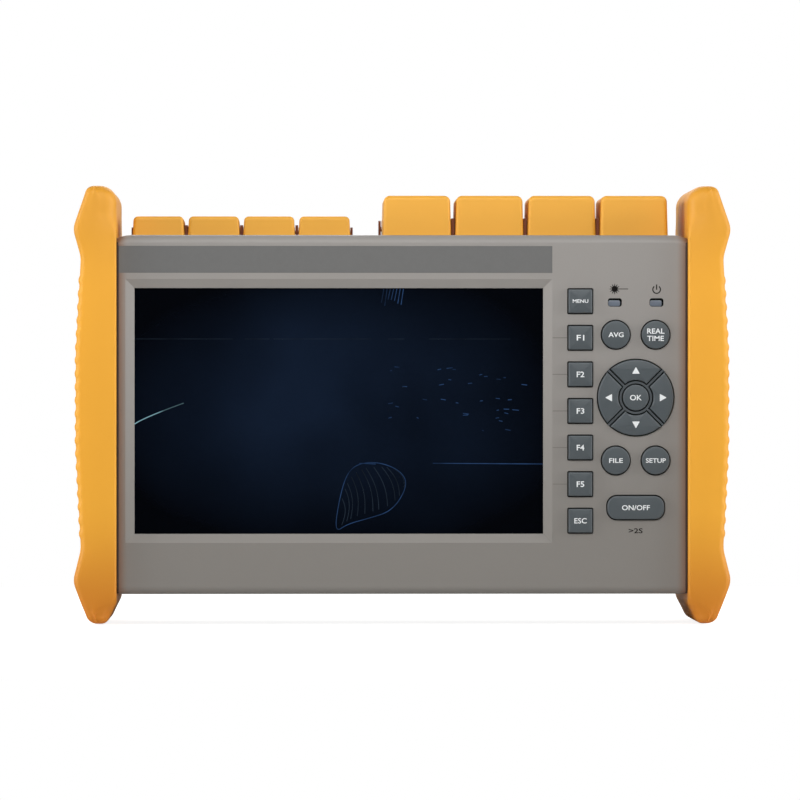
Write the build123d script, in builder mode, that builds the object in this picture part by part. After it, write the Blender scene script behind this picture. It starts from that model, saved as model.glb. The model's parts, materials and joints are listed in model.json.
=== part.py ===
from build123d import *
import math
import os

os.makedirs("parts", exist_ok=True)

# Portable optical time domain reflectometer, in millimetres. X runs to the right
# seen from the front, Y from the front panel to the back, and Z up from the
# surface that the two bumpers stand on. The origin lies under the middle.

# Front panel, from left to right
display_margin = 14.1
display_width = 154.8
key_column_gap = 9.35
square_key_size = 9.3
dpad_side_gap = 1.85
dpad_radius = 14.5
dpad_margin = 12.6

# Front panel, from the bottom to the top
display_bottom_margin = 22.8
display_height = 93.1
bezel_width = 3.4
title_gap = 2.3
title_height = 10.2
title_top_margin = 4.2

# Rows of hinged covers along the top, and the sockets under them
cover_count = 4
cover_setback = 15.5
rail_rear_margin = 5.5
left_row_margin = 12.9
right_row_margin = 13.75
row_gap = 6.0
optical_cover_width = 26.1
optical_cover_gap = 1.5
optical_cover_height = 15.5
optical_cover_depth = 32.0
optical_cover_wall = 1.8
optical_cover_draft = 0.4
optical_cover_corner = 2.4
optical_cover_edge = 1.6
optical_knuckle_radius = 3.2
optical_pin_radius = 1.0
port_cover_width = 19.8
port_cover_gap = 1.3
port_cover_height = 7.6
port_cover_depth = 30.0
port_cover_wall = 1.5
port_cover_draft = 0.4
port_cover_corner = 1.8
port_cover_edge = 1.3
port_knuckle_radius = 1.9
port_pin_radius = 0.75
cover_rear_overhang = 1.6
cover_rear_corner = 2.8
cover_seat_gap = 0.3
rail_plate_thickness = 1.6
rail_recess = 1.4
rail_plate_overhang = 0.2
rail_end_web = 0.9
pin_end_chamfer = 0.2

# Case walls and edges
case_wall = 2.5
rear_shell_depth = 13.0
case_top_corner = 13.0
case_bottom_corner = 6.0
case_edge_radius = 3.0
gasket_thickness = 0.8
gasket_width = 1.5
bezel_depth = 1.8
title_recess = 0.6
title_thickness = 0.5
title_side_gap = 0.2

# Bumpers
ground_clearance = 12.0
horn_height = 19.4
bumper_wall = 11.0
bumper_lip = 7.8
bumper_lip_thickness = 4.0
bumper_edge_radius = 2.5
bumper_fit_gap = 0.1
foot_inner_slope = 4.05
foot_width = 10.0
foot_chamfer_height = 9.1
flare_height = 4.6
waist_depth = 2.2
waist_height = 18.0
band_depth = 0.8
band_height = 50.0
horn_inner_slope = 3.1
horn_width = 11.0
horn_shoulder_drop = 9.5
rib_pitch = 5.05
rib_radius = 3.2
rib_proud = 0.45
rib_end_margin = 1.5
foot_lip_corner = 5.0
foot_corner = 4.0
flare_reach = 0.2
flare_corner = 8.0
waist_low_corner = 16.0
waist_high_corner = 12.0
band_corner = 60.0
horn_outer_corner = 4.0
horn_inner_corner = 5.0
horn_shoulder_corner = 9.0

# Keys and indicators
key_pitch = 13.86
key_proud = 1.6
key_clearance = 0.3
key_flange = 0.65
key_flange_thickness = 1.2
key_edge_radius = 0.4
square_key_corner = 0.6
key_travel = 0.8
switch_gap = 0.1
round_key_radius = 5.45
round_key_spacing = 15.1
round_key_gap = 3.87
dpad_rise = 5.05
dpad_inner_radius = 6.5
dpad_web = 0.8
dpad_web_proud = 0.55
ok_key_radius = 5.07
power_key_width = 21.8
power_key_height = 9.16
power_key_corner = 3.8
power_key_gap = 7.82
indicator_width = 5.3
indicator_height = 3.2
indicator_corner = 1.0
indicator_spacing = 15.8
indicator_gap = 5.2
indicator_sink = 0.5
switch_size = 4.5
switch_body_height = 2.4
plunger_radius = 1.1
plunger_height = 1.1

# Display, boards and optical bench inside
window_thickness = 1.5
window_overlap = 3.2
window_corner = 1.0
lcd_thickness = 5.5
lcd_border = 5.2
lcd_rear_chamfer = 0.6
bracket_thickness = 1.0
bracket_rim = 12.0
bracket_tab = 9.0
bracket_screw_inset = 15.0
standoff_inset = 14.0
standoff_length = 8.5
standoff_radius = 2.75
board_thickness = 1.6
plate_corner = 1.5
main_board_width = 192.0
board_bottom_gap = 12.0
board_top_gap = 6.0
keypad_board_edge = 4.2
keypad_board_rim = 2.2
boss_radius = 2.6
boss_gap = 0.8
screw_radius = 1.4
screw_head_radius = 2.5
screw_head_height = 1.6
screw_length = 5.5
module_thickness = 17.0
module_height = 42.0
module_end = 6.0
module_corner = 3.0
module_edge_radius = 1.5
adapter_flange_width = 18.0
adapter_flange_depth = 14.0
adapter_flange_thickness = 2.0
adapter_barrel_radius = 4.0
adapter_barrel_height = 8.0
adapter_body_radius = 4.6
adapter_module_gap = 0.3
adapter_offset = 2.4
adapter_barrel_chamfer = 0.4
ferrule_bore_radius = 1.25
ferrule_bore_depth = 9.0
adapter_slot_width = 2.1
adapter_slot_depth = 1.2
adapter_slot_drop = 3.0
socket_proud = 1.0
socket_clearance = 0.3
jack_width = 9.0
jack_depth = 11.0
jack_height = 14.5
jack_corner = 0.8
jack_mouth_radius = 3.1
jack_mouth_depth = 9.5
jack_pin_radius = 1.0
ethernet_width = 16.0
ethernet_depth = 13.4
ethernet_height = 20.0
ethernet_mouth_width = 11.9
ethernet_mouth_depth = 6.8
ethernet_latch_width = 6.0
ethernet_latch_depth = 2.4
ethernet_hole = 12.5
ethernet_mouth_offset = 1.0
usb_width = 14.4
usb_depth = 7.0
usb_height = 17.0
usb_shell = 0.7
usb_hole = 12.0
usb_tongue_width = 11.1
usb_tongue_thickness = 1.9
usb_tongue_gap = 0.5
usb_tongue_sink = 1.0
mini_usb_width = 7.9
mini_usb_depth = 4.2
mini_usb_height = 9.0
mini_usb_shell = 0.5
mini_usb_hole = 6.5
mini_usb_tongue_width = 4.6
mini_usb_tongue_thickness = 0.8

# Battery, its cover and the stand at the back
battery_width = 100.0
battery_height = 54.0
battery_thickness = 22.0
battery_clearance = 0.4
battery_corner = 3.0
battery_edge_radius = 1.0
bay_wall = 1.5
bay_module_gap = 2.0
battery_cover_thickness = 2.0
battery_cover_lip_side = 7.0
battery_cover_lip = 3.0
battery_cover_corner = 4.0
battery_cover_gap = 0.3
battery_cover_chamfer = 0.5
cover_screw_radius = 1.25
cover_screw_head_radius = 2.3
cover_screw_length = 8.0
cover_screw_spacing = 36.0
cover_screw_edge = 3.5
cover_screw_head_height = 1.0
head_clearance = 0.2
case_screw_radius = 1.5
case_screw_head_radius = 2.75
case_screw_head_height = 2.0
case_screw_sink = 2.6
case_screw_length = 17.0
case_screw_edge = 11.0
case_screw_boss_radius = 3.5
case_screw_rise = 7.0
stand_thickness = 5.0
stand_leg_width = 10.0
stand_bar_height = 10.0
stand_side_gap = 4.0
stand_bottom_margin = 4.0
stand_clearance = 0.4
stand_corner = 7.0
stand_hinge_rise = 6.0
stand_pin_radius = 1.25
stand_pin_clearance = 0.05
stand_pin_bite = 2.2
scoop_width = 26.0
scoop_height = 7.0
scoop_depth = 5.5
scoop_gap = 3.0
pad_width = 16.0
pad_height = 5.0
pad_thickness = 1.0
pad_sink = 0.8
pad_inset = 22.0

pin_running_clearance = 0.05
web_clearance = 0.3
cut_over = 1.0

# Case size: the wider of the front panel's row and the top's row of covers
optical_pitch = optical_cover_width + optical_cover_gap
port_pitch = port_cover_width + port_cover_gap
panel_row = (
    display_margin + display_width + key_column_gap + square_key_size
    + dpad_side_gap + 2 * dpad_radius + dpad_margin
)
top_row = (
    left_row_margin + cover_count * port_pitch + row_gap
    + cover_count * optical_pitch + right_row_margin
)
case_width = max(panel_row, top_row)
column_names = ["menu_key", "f1_key", "f2_key", "f3_key", "f4_key", "f5_key", "esc_key"]
column_reach = (len(column_names) - 1) / 2 * key_pitch + square_key_size / 2
display_column = (
    display_bottom_margin + display_height + bezel_width
    + title_gap + title_height + title_top_margin
)
case_height = max(display_column, 2 * column_reach + display_bottom_margin + title_height)
front_shell_depth = cover_setback + optical_cover_depth + rail_rear_margin
inner_stack = (
    case_wall + window_thickness + lcd_thickness + bracket_thickness + standoff_length
    + board_thickness + module_thickness + bay_module_gap + bay_wall
    + battery_thickness + 2 * battery_clearance + battery_cover_thickness
)
case_depth = max(front_shell_depth + rear_shell_depth, inner_stack)

# Faces of the case
front_y = -case_depth / 2
rear_y = case_depth / 2
split_y = front_y + front_shell_depth
case_bottom = ground_clearance
case_top = ground_clearance + case_height
case_mid_z = (case_bottom + case_top) / 2
case_side_x = case_width / 2
panel_back_y = front_y + case_wall

# Places on the front panel
display_x = -case_side_x + display_margin + display_width / 2
display_z = case_bottom + display_bottom_margin + display_height / 2
display_right_x = display_x + display_width / 2
display_top_z = display_z + display_height / 2
dpad_x = case_side_x - dpad_margin - dpad_radius
dpad_z = display_z + dpad_rise
key_column_x = dpad_x - dpad_radius - dpad_side_gap - square_key_size / 2
round_row_rise = dpad_radius + round_key_gap + round_key_radius
round_top_z = dpad_z + round_row_rise
round_bottom_z = dpad_z - round_row_rise
power_key_z = round_bottom_z - round_key_radius - power_key_gap - power_key_height / 2
indicator_z = round_top_z + round_key_radius + indicator_gap + indicator_height / 2
title_bottom_z = display_top_z + bezel_width + title_gap
title_left_x = -case_side_x + bumper_lip + title_side_gap
title_right_x = display_right_x + bezel_width

# Depths behind the panel
key_front_y = front_y - key_proud
flange_front_y = panel_back_y + key_clearance
flange_back_y = flange_front_y + key_flange_thickness
plunger_tip_y = flange_back_y + key_travel + switch_gap
keypad_board_y = plunger_tip_y + plunger_height + switch_body_height
window_back_y = panel_back_y + window_thickness
lcd_back_y = window_back_y + lcd_thickness
bracket_back_y = lcd_back_y + bracket_thickness
main_board_y = bracket_back_y + standoff_length
main_board_back_y = main_board_y + board_thickness

# Places on the top
pin_y = front_y + cover_setback + optical_cover_depth
rail_top_z = case_top + rail_plate_thickness - rail_recess
optical_pin_z = rail_top_z + cover_seat_gap + optical_knuckle_radius
port_pin_z = rail_top_z + cover_seat_gap + port_knuckle_radius
optical_last_x = case_side_x - right_row_margin - optical_cover_width / 2
optical_xs = [optical_last_x - optical_pitch * n for n in reversed(range(cover_count))]
port_first_x = -case_side_x + left_row_margin + port_cover_width / 2
port_xs = [port_first_x + port_pitch * n for n in range(cover_count)]
adapter_y = main_board_back_y + module_thickness / 2 + adapter_offset
module_top_z = case_top - case_wall - board_top_gap
module_x = sum(optical_xs) / cover_count
module_width = optical_xs[-1] - optical_xs[0] + 2 * module_end

# Places at the back
stand_bar_z = case_bottom + stand_bottom_margin
scoop_z = stand_bar_z + stand_bar_height + scoop_height / 2
battery_cover_z = stand_bar_z + stand_bar_height + scoop_height + scoop_gap
bay_width = battery_width + 2 * battery_clearance
bay_height = battery_height + 2 * battery_clearance
battery_cover_width = bay_width + 2 * battery_cover_lip_side
battery_cover_height = bay_height + 2 * battery_cover_lip
bay_z = battery_cover_z + battery_cover_height / 2
bay_floor_y = rear_y - battery_cover_thickness - battery_thickness - 2 * battery_clearance
stand_inner_x = battery_cover_width / 2 + stand_side_gap
stand_leg_x = stand_inner_x + stand_leg_width / 2
stand_outer_x = stand_inner_x + stand_leg_width
stand_hinge_z = battery_cover_z + battery_cover_height + stand_hinge_rise
stand_recess_y = rear_y - stand_thickness - stand_clearance
stand_front_y = stand_recess_y + stand_clearance / 2
stand_hinge_y = stand_front_y + stand_thickness / 2
screw_x = case_side_x - case_screw_edge
screw_zs = [case_bottom + case_screw_rise, case_top - case_screw_rise]
screw_places = [(side * screw_x, z) for side in (-1, 1) for z in screw_zs]


def view_plane(y, x=0.0, z=0.0, turn=0.0):
    """Plane facing the viewer at depth y, with its origin at x, z and turned by degrees."""
    angle = math.radians(turn)
    return Plane(origin=(x, y, z), x_dir=(math.cos(angle), 0, math.sin(angle)), z_dir=(0, -1, 0))


def case_outline(inset):
    """Front view of the case, drawn inside its outer face by inset."""
    with BuildSketch() as outline:
        with Locations((0, case_mid_z)):
            Rectangle(case_width - 2 * inset, case_height - 2 * inset)
        fillet(outline.vertices().group_by(Axis.Y)[-1], case_top_corner - inset)
        fillet(outline.vertices().group_by(Axis.Y)[0], case_bottom_corner - inset)
    return outline.sketch


# Keys: a cap through the panel and a flange behind it that keeps the cap in
key_places = {}
for row, key_name in enumerate(column_names):
    steps_up = (len(column_names) - 1) / 2 - row
    key_places[key_name] = ("square", key_column_x, display_z + steps_up * key_pitch, 0)
round_half = round_key_spacing / 2
key_places["avg_key"] = ("round", dpad_x - round_half, round_top_z, 0)
key_places["real_time_key"] = ("round", dpad_x + round_half, round_top_z, 0)
key_places["file_key"] = ("round", dpad_x - round_half, round_bottom_z, 0)
key_places["setup_key"] = ("round", dpad_x + round_half, round_bottom_z, 0)
for turn, key_name in ((0, "up_key"), (90, "left_key"), (180, "down_key"), (270, "right_key")):
    key_places[key_name] = ("sector", dpad_x, dpad_z, turn)
key_places["ok_key"] = ("ok", dpad_x, dpad_z, 0)
key_places["power_key"] = ("power", dpad_x, power_key_z, 0)


def draw_key(shape, grow):
    """Outline of a key in the open sketch, grown outwards by a margin."""
    if shape == "square":
        size = square_key_size + 2 * grow
        RectangleRounded(size, size, square_key_corner)
    elif shape == "round":
        Circle(round_key_radius + grow)
    elif shape == "ok":
        Circle(ok_key_radius + grow)
    elif shape == "power":
        RectangleRounded(
            power_key_width + 2 * grow, power_key_height + 2 * grow, power_key_corner + grow
        )
    else:
        half_gap = dpad_web / 2 + key_clearance
        apex = half_gap * math.sqrt(2)
        reach = 2 * dpad_radius
        Circle(dpad_radius + grow)
        Circle(dpad_inner_radius, mode=Mode.SUBTRACT)
        Polygon(
            (0, apex), (reach, apex + reach), (-reach, apex + reach),
            align=None, mode=Mode.INTERSECT,
        )


def make_key(label, shape, x, z, turn):
    """One key, from its flange behind the panel to its softened front edge."""
    with BuildPart() as key:
        with BuildSketch(view_plane(flange_front_y, x, z, turn)):
            draw_key(shape, 0)
        extrude(amount=flange_front_y - key_front_y)
        fillet(key.faces().sort_by(Axis.Y)[0].edges(), key_edge_radius)
        with BuildSketch(view_plane(flange_back_y, x, z, turn)):
            draw_key(shape, key_flange)
        extrude(amount=key_flange_thickness)
    key.part.label = label
    export_step(key.part, f"parts/{label}.step")


for key_name, (key_shape, key_x, key_z, key_turn) in key_places.items():
    make_key(key_name, key_shape, key_x, key_z, key_turn)

# Dark web that stands between the four arrow keys and round the middle key
web_outer_radius = dpad_radius + key_clearance
web_inner_radius = ok_key_radius + key_clearance
with BuildPart() as dpad_frame:
    with BuildSketch(view_plane(panel_back_y, dpad_x, dpad_z)):
        with Locations((0, 0, 0)):
            Rectangle(2 * web_outer_radius, dpad_web, rotation=45)
            Rectangle(2 * web_outer_radius, dpad_web, rotation=-45)
        Circle(dpad_inner_radius - key_clearance)
        Circle(web_inner_radius, mode=Mode.SUBTRACT)
        Circle(web_outer_radius, mode=Mode.INTERSECT)
    extrude(amount=case_wall + dpad_web_proud)
dpad_frame.part.label = "dpad_frame"
export_step(dpad_frame.part, "parts/dpad_frame.step")

# Front shell: panel, deep side walls, and the top wall that carries the connectors
socket_sizes = [
    (jack_width, jack_depth),
    (ethernet_width, ethernet_depth),
    (usb_width, usb_depth),
    (mini_usb_width, mini_usb_depth),
]
socket_places = [
    (x, main_board_back_y + depth / 2, width, depth)
    for x, (width, depth) in zip(port_xs, socket_sizes)
]
indicator_xs = [dpad_x - indicator_spacing / 2, dpad_x + indicator_spacing / 2]
keypad_left_x = key_column_x - square_key_size / 2 - keypad_board_rim
keypad_right_x = dpad_x + dpad_radius + keypad_board_rim
keypad_top_z = display_z + column_reach + key_flange + 2 * boss_radius + boss_gap
keypad_bottom_z = 2 * display_z - keypad_top_z
keypad_screws = [
    (x, z)
    for x in (keypad_left_x + keypad_board_edge, keypad_right_x - keypad_board_edge)
    for z in (keypad_bottom_z + boss_radius, keypad_top_z - boss_radius)
]
lcd_width = display_width + 2 * lcd_border
lcd_height = display_height + 2 * lcd_border
bracket_reach = lcd_width / 2 - bracket_screw_inset
bracket_rise = lcd_height / 2 + boss_radius + boss_gap
bracket_screws = [
    (display_x + side * bracket_reach, display_z + rise * bracket_rise)
    for side in (-1, 1)
    for rise in (-1, 1)
]
rail_half_depth = optical_knuckle_radius + rail_plate_overhang


def rail_span(xs, width):
    """Left and right ends of a hinge rail that reaches past its row of covers."""
    reach = width / 2 + web_clearance + rail_end_web
    return xs[0] - reach, xs[-1] + reach


with BuildPart() as front_shell:
    front_end_y = split_y - gasket_thickness / 2
    with BuildSketch(view_plane(front_end_y)):
        add(case_outline(0))
    extrude(amount=front_end_y - front_y)
    fillet(front_shell.faces().sort_by(Axis.Y)[0].edges(), case_edge_radius)
    with BuildSketch(view_plane(front_end_y)):
        add(case_outline(case_wall))
    extrude(amount=front_end_y - panel_back_y, mode=Mode.SUBTRACT)
    with BuildSketch(view_plane(front_end_y)):
        with Locations(*screw_places):
            Circle(case_screw_boss_radius)
    extrude(amount=front_end_y - panel_back_y + cut_over)
    with BuildSketch(view_plane(keypad_board_y)):
        with Locations(*keypad_screws):
            Circle(boss_radius)
    extrude(amount=keypad_board_y - panel_back_y + cut_over)
    with BuildSketch(view_plane(lcd_back_y)):
        with Locations(*bracket_screws):
            Circle(boss_radius)
    extrude(amount=lcd_back_y - panel_back_y + cut_over)
    with BuildSketch(view_plane(front_end_y)):
        with Locations(*screw_places):
            Circle(case_screw_radius)
    extrude(amount=case_screw_length, mode=Mode.SUBTRACT)
    with BuildSketch(view_plane(keypad_board_y)):
        with Locations(*keypad_screws):
            Circle(screw_radius)
    extrude(amount=screw_length, mode=Mode.SUBTRACT)
    with BuildSketch(view_plane(lcd_back_y)):
        with Locations(*bracket_screws):
            Circle(screw_radius)
    extrude(amount=screw_length, mode=Mode.SUBTRACT)
    with BuildSketch(view_plane(panel_back_y, display_x, display_z)):
        Rectangle(display_width, display_height)
    extrude(amount=case_wall, mode=Mode.SUBTRACT)
    with BuildSketch(view_plane(front_y, display_x, display_z)):
        Rectangle(display_width + 2 * bezel_width, display_height + 2 * bezel_width)
    with BuildSketch(view_plane(front_y + bezel_depth, display_x, display_z)):
        Rectangle(display_width, display_height)
    loft(mode=Mode.SUBTRACT)
    with BuildSketch(view_plane(front_y + title_recess)):
        with Locations(((title_left_x + title_right_x) / 2, title_bottom_z + title_height / 2)):
            Rectangle(title_right_x - title_left_x, title_height)
    extrude(amount=title_recess, mode=Mode.SUBTRACT)
    for hole_shape, hole_x, hole_z, hole_turn in key_places.values():
        if hole_shape in ("square", "round", "power"):
            with BuildSketch(view_plane(panel_back_y, hole_x, hole_z, hole_turn)):
                draw_key(hole_shape, key_clearance)
            extrude(amount=case_wall, mode=Mode.SUBTRACT)
    with BuildSketch(view_plane(panel_back_y, dpad_x, dpad_z)):
        Circle(web_outer_radius)
    extrude(amount=case_wall, mode=Mode.SUBTRACT)
    with BuildSketch(view_plane(panel_back_y)):
        with Locations(*[(x, indicator_z) for x in indicator_xs]):
            RectangleRounded(indicator_width, indicator_height, indicator_corner)
    extrude(amount=case_wall, mode=Mode.SUBTRACT)
    with BuildSketch(Plane.XY.offset(case_top)):
        for socket_x, socket_y, width, depth in socket_places:
            with Locations((socket_x, socket_y)):
                Rectangle(width + 2 * socket_clearance, depth + 2 * socket_clearance)
        with Locations(*[(x, adapter_y) for x in optical_xs]):
            Circle(adapter_body_radius + socket_clearance)
    extrude(amount=-case_wall, mode=Mode.SUBTRACT)
    with BuildSketch(Plane.XY.offset(case_top)):
        for xs, width in ((optical_xs, optical_cover_width), (port_xs, port_cover_width)):
            rail_left, rail_right = rail_span(xs, width)
            with Locations(((rail_left + rail_right) / 2, pin_y)):
                Rectangle(rail_right - rail_left, 2 * rail_half_depth)
    extrude(amount=-rail_recess, mode=Mode.SUBTRACT)
front_shell.part.label = "front_shell"
export_step(front_shell.part, "parts/front_shell.step")


def stand_outline(grow):
    """Front view of the stand, two legs and the bar that joins them, grown by a margin."""
    height = stand_hinge_z - stand_bar_z
    with BuildSketch() as outline:
        with Locations((0, stand_bar_z + height / 2)):
            Rectangle(2 * stand_outer_x + 2 * grow, height + 2 * grow)
        fillet(outline.vertices().group_by(Axis.Y)[0], stand_corner)
        with Locations((0, stand_bar_z + stand_bar_height + grow)):
            Rectangle(
                2 * stand_inner_x - 2 * grow, height + 2 * grow,
                align=(Align.CENTER, Align.MIN), mode=Mode.SUBTRACT,
            )
    return outline.sketch


# Rear shell: recess for the stand, battery bay and bosses for the case screws
rear_start_y = split_y + gasket_thickness / 2
stand_top_room = stand_thickness / 2 + stand_clearance
cover_screw_x = battery_cover_width / 2 - cover_screw_edge
cover_screw_places = [
    (side * cover_screw_x, bay_z + rise * cover_screw_spacing / 2)
    for side in (-1, 1)
    for rise in (-1, 1)
]
with BuildPart() as rear_shell:
    with BuildSketch(view_plane(rear_y)):
        add(case_outline(0))
    extrude(amount=rear_y - rear_start_y)
    fillet(rear_shell.faces().sort_by(Axis.Y)[-1].edges(), case_edge_radius)
    with BuildSketch(view_plane(rear_y - case_wall)):
        add(case_outline(case_wall))
    extrude(amount=rear_y - case_wall - rear_start_y, mode=Mode.SUBTRACT)
    with BuildSketch(view_plane(rear_y - case_wall + cut_over)):
        add(stand_outline(stand_clearance + case_wall))
        with Locations(*[(side * stand_leg_x, stand_hinge_z) for side in (-1, 1)]):
            Rectangle(
                stand_leg_width + 2 * (stand_clearance + case_wall),
                2 * (stand_top_room + case_wall),
            )
        with Locations((0, scoop_z)):
            Rectangle(scoop_width + 2 * case_wall, scoop_height + 2 * case_wall)
    extrude(amount=rear_y - stand_recess_y + cut_over)
    with BuildSketch(view_plane(rear_y - case_wall + cut_over)):
        with Locations(*screw_places):
            Circle(case_screw_boss_radius)
    extrude(amount=rear_y - case_wall + cut_over - rear_start_y)
    with BuildSketch(view_plane(rear_y - case_wall + cut_over)):
        with Locations((0, bay_z)):
            RectangleRounded(
                bay_width + 2 * bay_wall, bay_height + 2 * bay_wall, battery_corner + bay_wall
            )
    extrude(amount=rear_y - case_wall + cut_over - bay_floor_y + bay_wall)
    with BuildSketch(view_plane(rear_y - case_wall + cut_over)):
        with Locations(*cover_screw_places):
            Circle(boss_radius)
    extrude(amount=cover_screw_length)
    with BuildSketch(view_plane(rear_y)):
        add(stand_outline(stand_clearance))
        with Locations(*[(side * stand_leg_x, stand_hinge_z) for side in (-1, 1)]):
            Rectangle(stand_leg_width + 2 * stand_clearance, 2 * stand_top_room)
    extrude(amount=rear_y - stand_recess_y, mode=Mode.SUBTRACT)
    with BuildSketch(view_plane(rear_y)):
        with Locations((0, scoop_z)):
            Rectangle(scoop_width, scoop_height)
    extrude(amount=scoop_depth, mode=Mode.SUBTRACT)
    with BuildSketch(view_plane(rear_y)):
        with Locations((0, bay_z)):
            RectangleRounded(
                battery_cover_width + 2 * battery_cover_gap,
                battery_cover_height + 2 * battery_cover_gap, battery_cover_corner,
            )
    extrude(amount=battery_cover_thickness, mode=Mode.SUBTRACT)
    with BuildSketch(view_plane(rear_y)):
        with Locations((0, bay_z)):
            RectangleRounded(bay_width, bay_height, battery_corner)
    extrude(amount=rear_y - bay_floor_y, mode=Mode.SUBTRACT)
    with BuildSketch(view_plane(rear_y)):
        with Locations(*cover_screw_places):
            Circle(cover_screw_radius)
    extrude(amount=cover_screw_length + battery_cover_thickness, mode=Mode.SUBTRACT)
    with BuildSketch(view_plane(rear_y)):
        with Locations(*screw_places):
            Circle(case_screw_head_radius + socket_clearance)
    extrude(amount=case_screw_sink, mode=Mode.SUBTRACT)
    with BuildSketch(view_plane(rear_y)):
        with Locations(*screw_places):
            Circle(case_screw_radius)
    extrude(amount=rear_y - rear_start_y, mode=Mode.SUBTRACT)
    stand_pin_half = stand_leg_width / 2 + stand_clearance + stand_pin_bite
    for side in (-1, 1):
        with BuildSketch(Plane.YZ.offset(side * stand_leg_x - stand_pin_half)):
            with Locations((stand_hinge_y, stand_hinge_z)):
                Circle(stand_pin_radius)
        extrude(amount=2 * stand_pin_half, mode=Mode.SUBTRACT)
rear_shell.part.label = "rear_shell"
export_step(rear_shell.part, "parts/rear_shell.step")

# Gasket between the two shells, in the middle of their walls
gasket_inset = (case_wall - gasket_width) / 2
with BuildPart() as case_gasket:
    with BuildSketch(view_plane(rear_start_y)):
        add(case_outline(gasket_inset))
        add(case_outline(gasket_inset + gasket_width), mode=Mode.SUBTRACT)
    extrude(amount=gasket_thickness)
case_gasket.part.label = "case_gasket"
export_step(case_gasket.part, "parts/case_gasket.step")

# Pan head screws that join the shells from behind
with BuildPart() as case_screws:
    with BuildSketch(view_plane(rear_y - case_screw_sink + case_screw_head_height)):
        with Locations(*screw_places):
            Circle(case_screw_head_radius)
    extrude(amount=case_screw_head_height)
    with BuildSketch(view_plane(rear_y - case_screw_sink)):
        with Locations(*screw_places):
            Circle(case_screw_radius)
    extrude(amount=case_screw_length)
case_screws.part.label = "case_screws"
export_step(case_screws.part, "parts/case_screws.step")

# Bumpers: soft end caps with a foot below, a horn above and a ribbed grip band
bumper_depth = case_depth + 2 * bumper_lip_thickness
bumper_outer_x = case_side_x + bumper_wall
bumper_lip_x = case_side_x - bumper_lip
waist_x = bumper_outer_x - waist_depth
band_x = bumper_outer_x - band_depth
waist_low_z = case_bottom + waist_height
waist_high_z = case_top - waist_height / 2
horn_z = case_top + horn_height
band_low_z = case_bottom + band_height
band_high_z = max(case_top - band_height + waist_height / 2, band_low_z + rib_pitch)
foot_inner_x = bumper_lip_x + foot_inner_slope
horn_inner_x = bumper_lip_x + horn_inner_slope
bumper_corners = [
    ((bumper_lip_x, foot_chamfer_height), foot_lip_corner),
    ((foot_inner_x, 0), foot_corner),
    ((foot_inner_x + foot_width, 0), foot_corner),
    ((bumper_outer_x + flare_reach, case_bottom + flare_height), flare_corner),
    ((waist_x, waist_low_z), waist_low_corner),
    ((band_x, band_low_z), band_corner),
    ((band_x, band_high_z), band_corner),
    ((waist_x, waist_high_z), waist_high_corner),
    ((bumper_outer_x + flare_reach, case_top + flare_height), flare_corner),
    ((horn_inner_x + horn_width, horn_z), horn_outer_corner),
    ((horn_inner_x, horn_z), horn_inner_corner),
    ((bumper_lip_x, horn_z - horn_shoulder_drop), horn_shoulder_corner),
]


def band_x_at(z):
    """Outer face of the grip band at height z, by its straight runs."""
    low_share = (z - waist_low_z) / (band_low_z - waist_low_z)
    high_share = (waist_high_z - z) / (waist_high_z - band_high_z)
    return waist_x + (band_x - waist_x) * min(low_share, high_share, 1.0)


rib_span = waist_high_z - waist_low_z - rib_pitch
rib_count = int(rib_span / rib_pitch) + 1
rib_first_z = (waist_low_z + waist_high_z - (rib_count - 1) * rib_pitch) / 2
rib_places = [
    (band_x_at(rib_first_z + n * rib_pitch) + rib_proud - rib_radius, rib_first_z + n * rib_pitch)
    for n in range(rib_count)
]
with BuildPart() as case_block:
    with BuildSketch(view_plane(rear_y + bumper_fit_gap)):
        add(case_outline(-bumper_fit_gap))
    extrude(amount=case_depth + 2 * bumper_fit_gap)
    fillet(case_block.faces().sort_by(Axis.Y)[0].edges(), case_edge_radius)
    fillet(case_block.faces().sort_by(Axis.Y)[-1].edges(), case_edge_radius)

with BuildPart() as right_bumper:
    with BuildSketch(view_plane(bumper_depth / 2)):
        with BuildLine():
            FilletPolyline(
                *[corner for corner, radius in bumper_corners],
                radius=[radius for corner, radius in bumper_corners], close=True,
            )
        make_face()
    extrude(amount=bumper_depth)
    fillet(right_bumper.faces().sort_by(Axis.Y)[0].edges(), bumper_edge_radius)
    fillet(right_bumper.faces().sort_by(Axis.Y)[-1].edges(), bumper_edge_radius)
    rib_end_y = bumper_depth / 2 - bumper_edge_radius - rib_end_margin
    with BuildSketch(view_plane(rib_end_y)):
        with Locations(*rib_places):
            Circle(rib_radius)
    extrude(amount=2 * rib_end_y)
    add(case_block.part, mode=Mode.SUBTRACT)
right_bumper.part.label = "right_bumper"
export_step(right_bumper.part, "parts/right_bumper.step")

with BuildPart() as left_bumper:
    add(right_bumper.part.mirror(Plane.YZ))
left_bumper.part.label = "left_bumper"
export_step(left_bumper.part, "parts/left_bumper.step")

# Display: clear window behind the bezel, panel, and the metal bracket behind it
with BuildPart() as display_window:
    with BuildSketch(view_plane(window_back_y, display_x, display_z)):
        RectangleRounded(
            display_width + 2 * window_overlap, display_height + 2 * window_overlap,
            window_corner,
        )
    extrude(amount=window_thickness)
display_window.part.label = "display_window"
export_step(display_window.part, "parts/display_window.step")

with BuildPart() as lcd_panel:
    with BuildSketch(view_plane(lcd_back_y, display_x, display_z)):
        Rectangle(lcd_width, lcd_height)
    extrude(amount=lcd_thickness)
    chamfer(lcd_panel.faces().sort_by(Axis.Y)[-1].edges(), lcd_rear_chamfer)
lcd_panel.part.label = "lcd_panel"
export_step(lcd_panel.part, "parts/lcd_panel.step")

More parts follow.
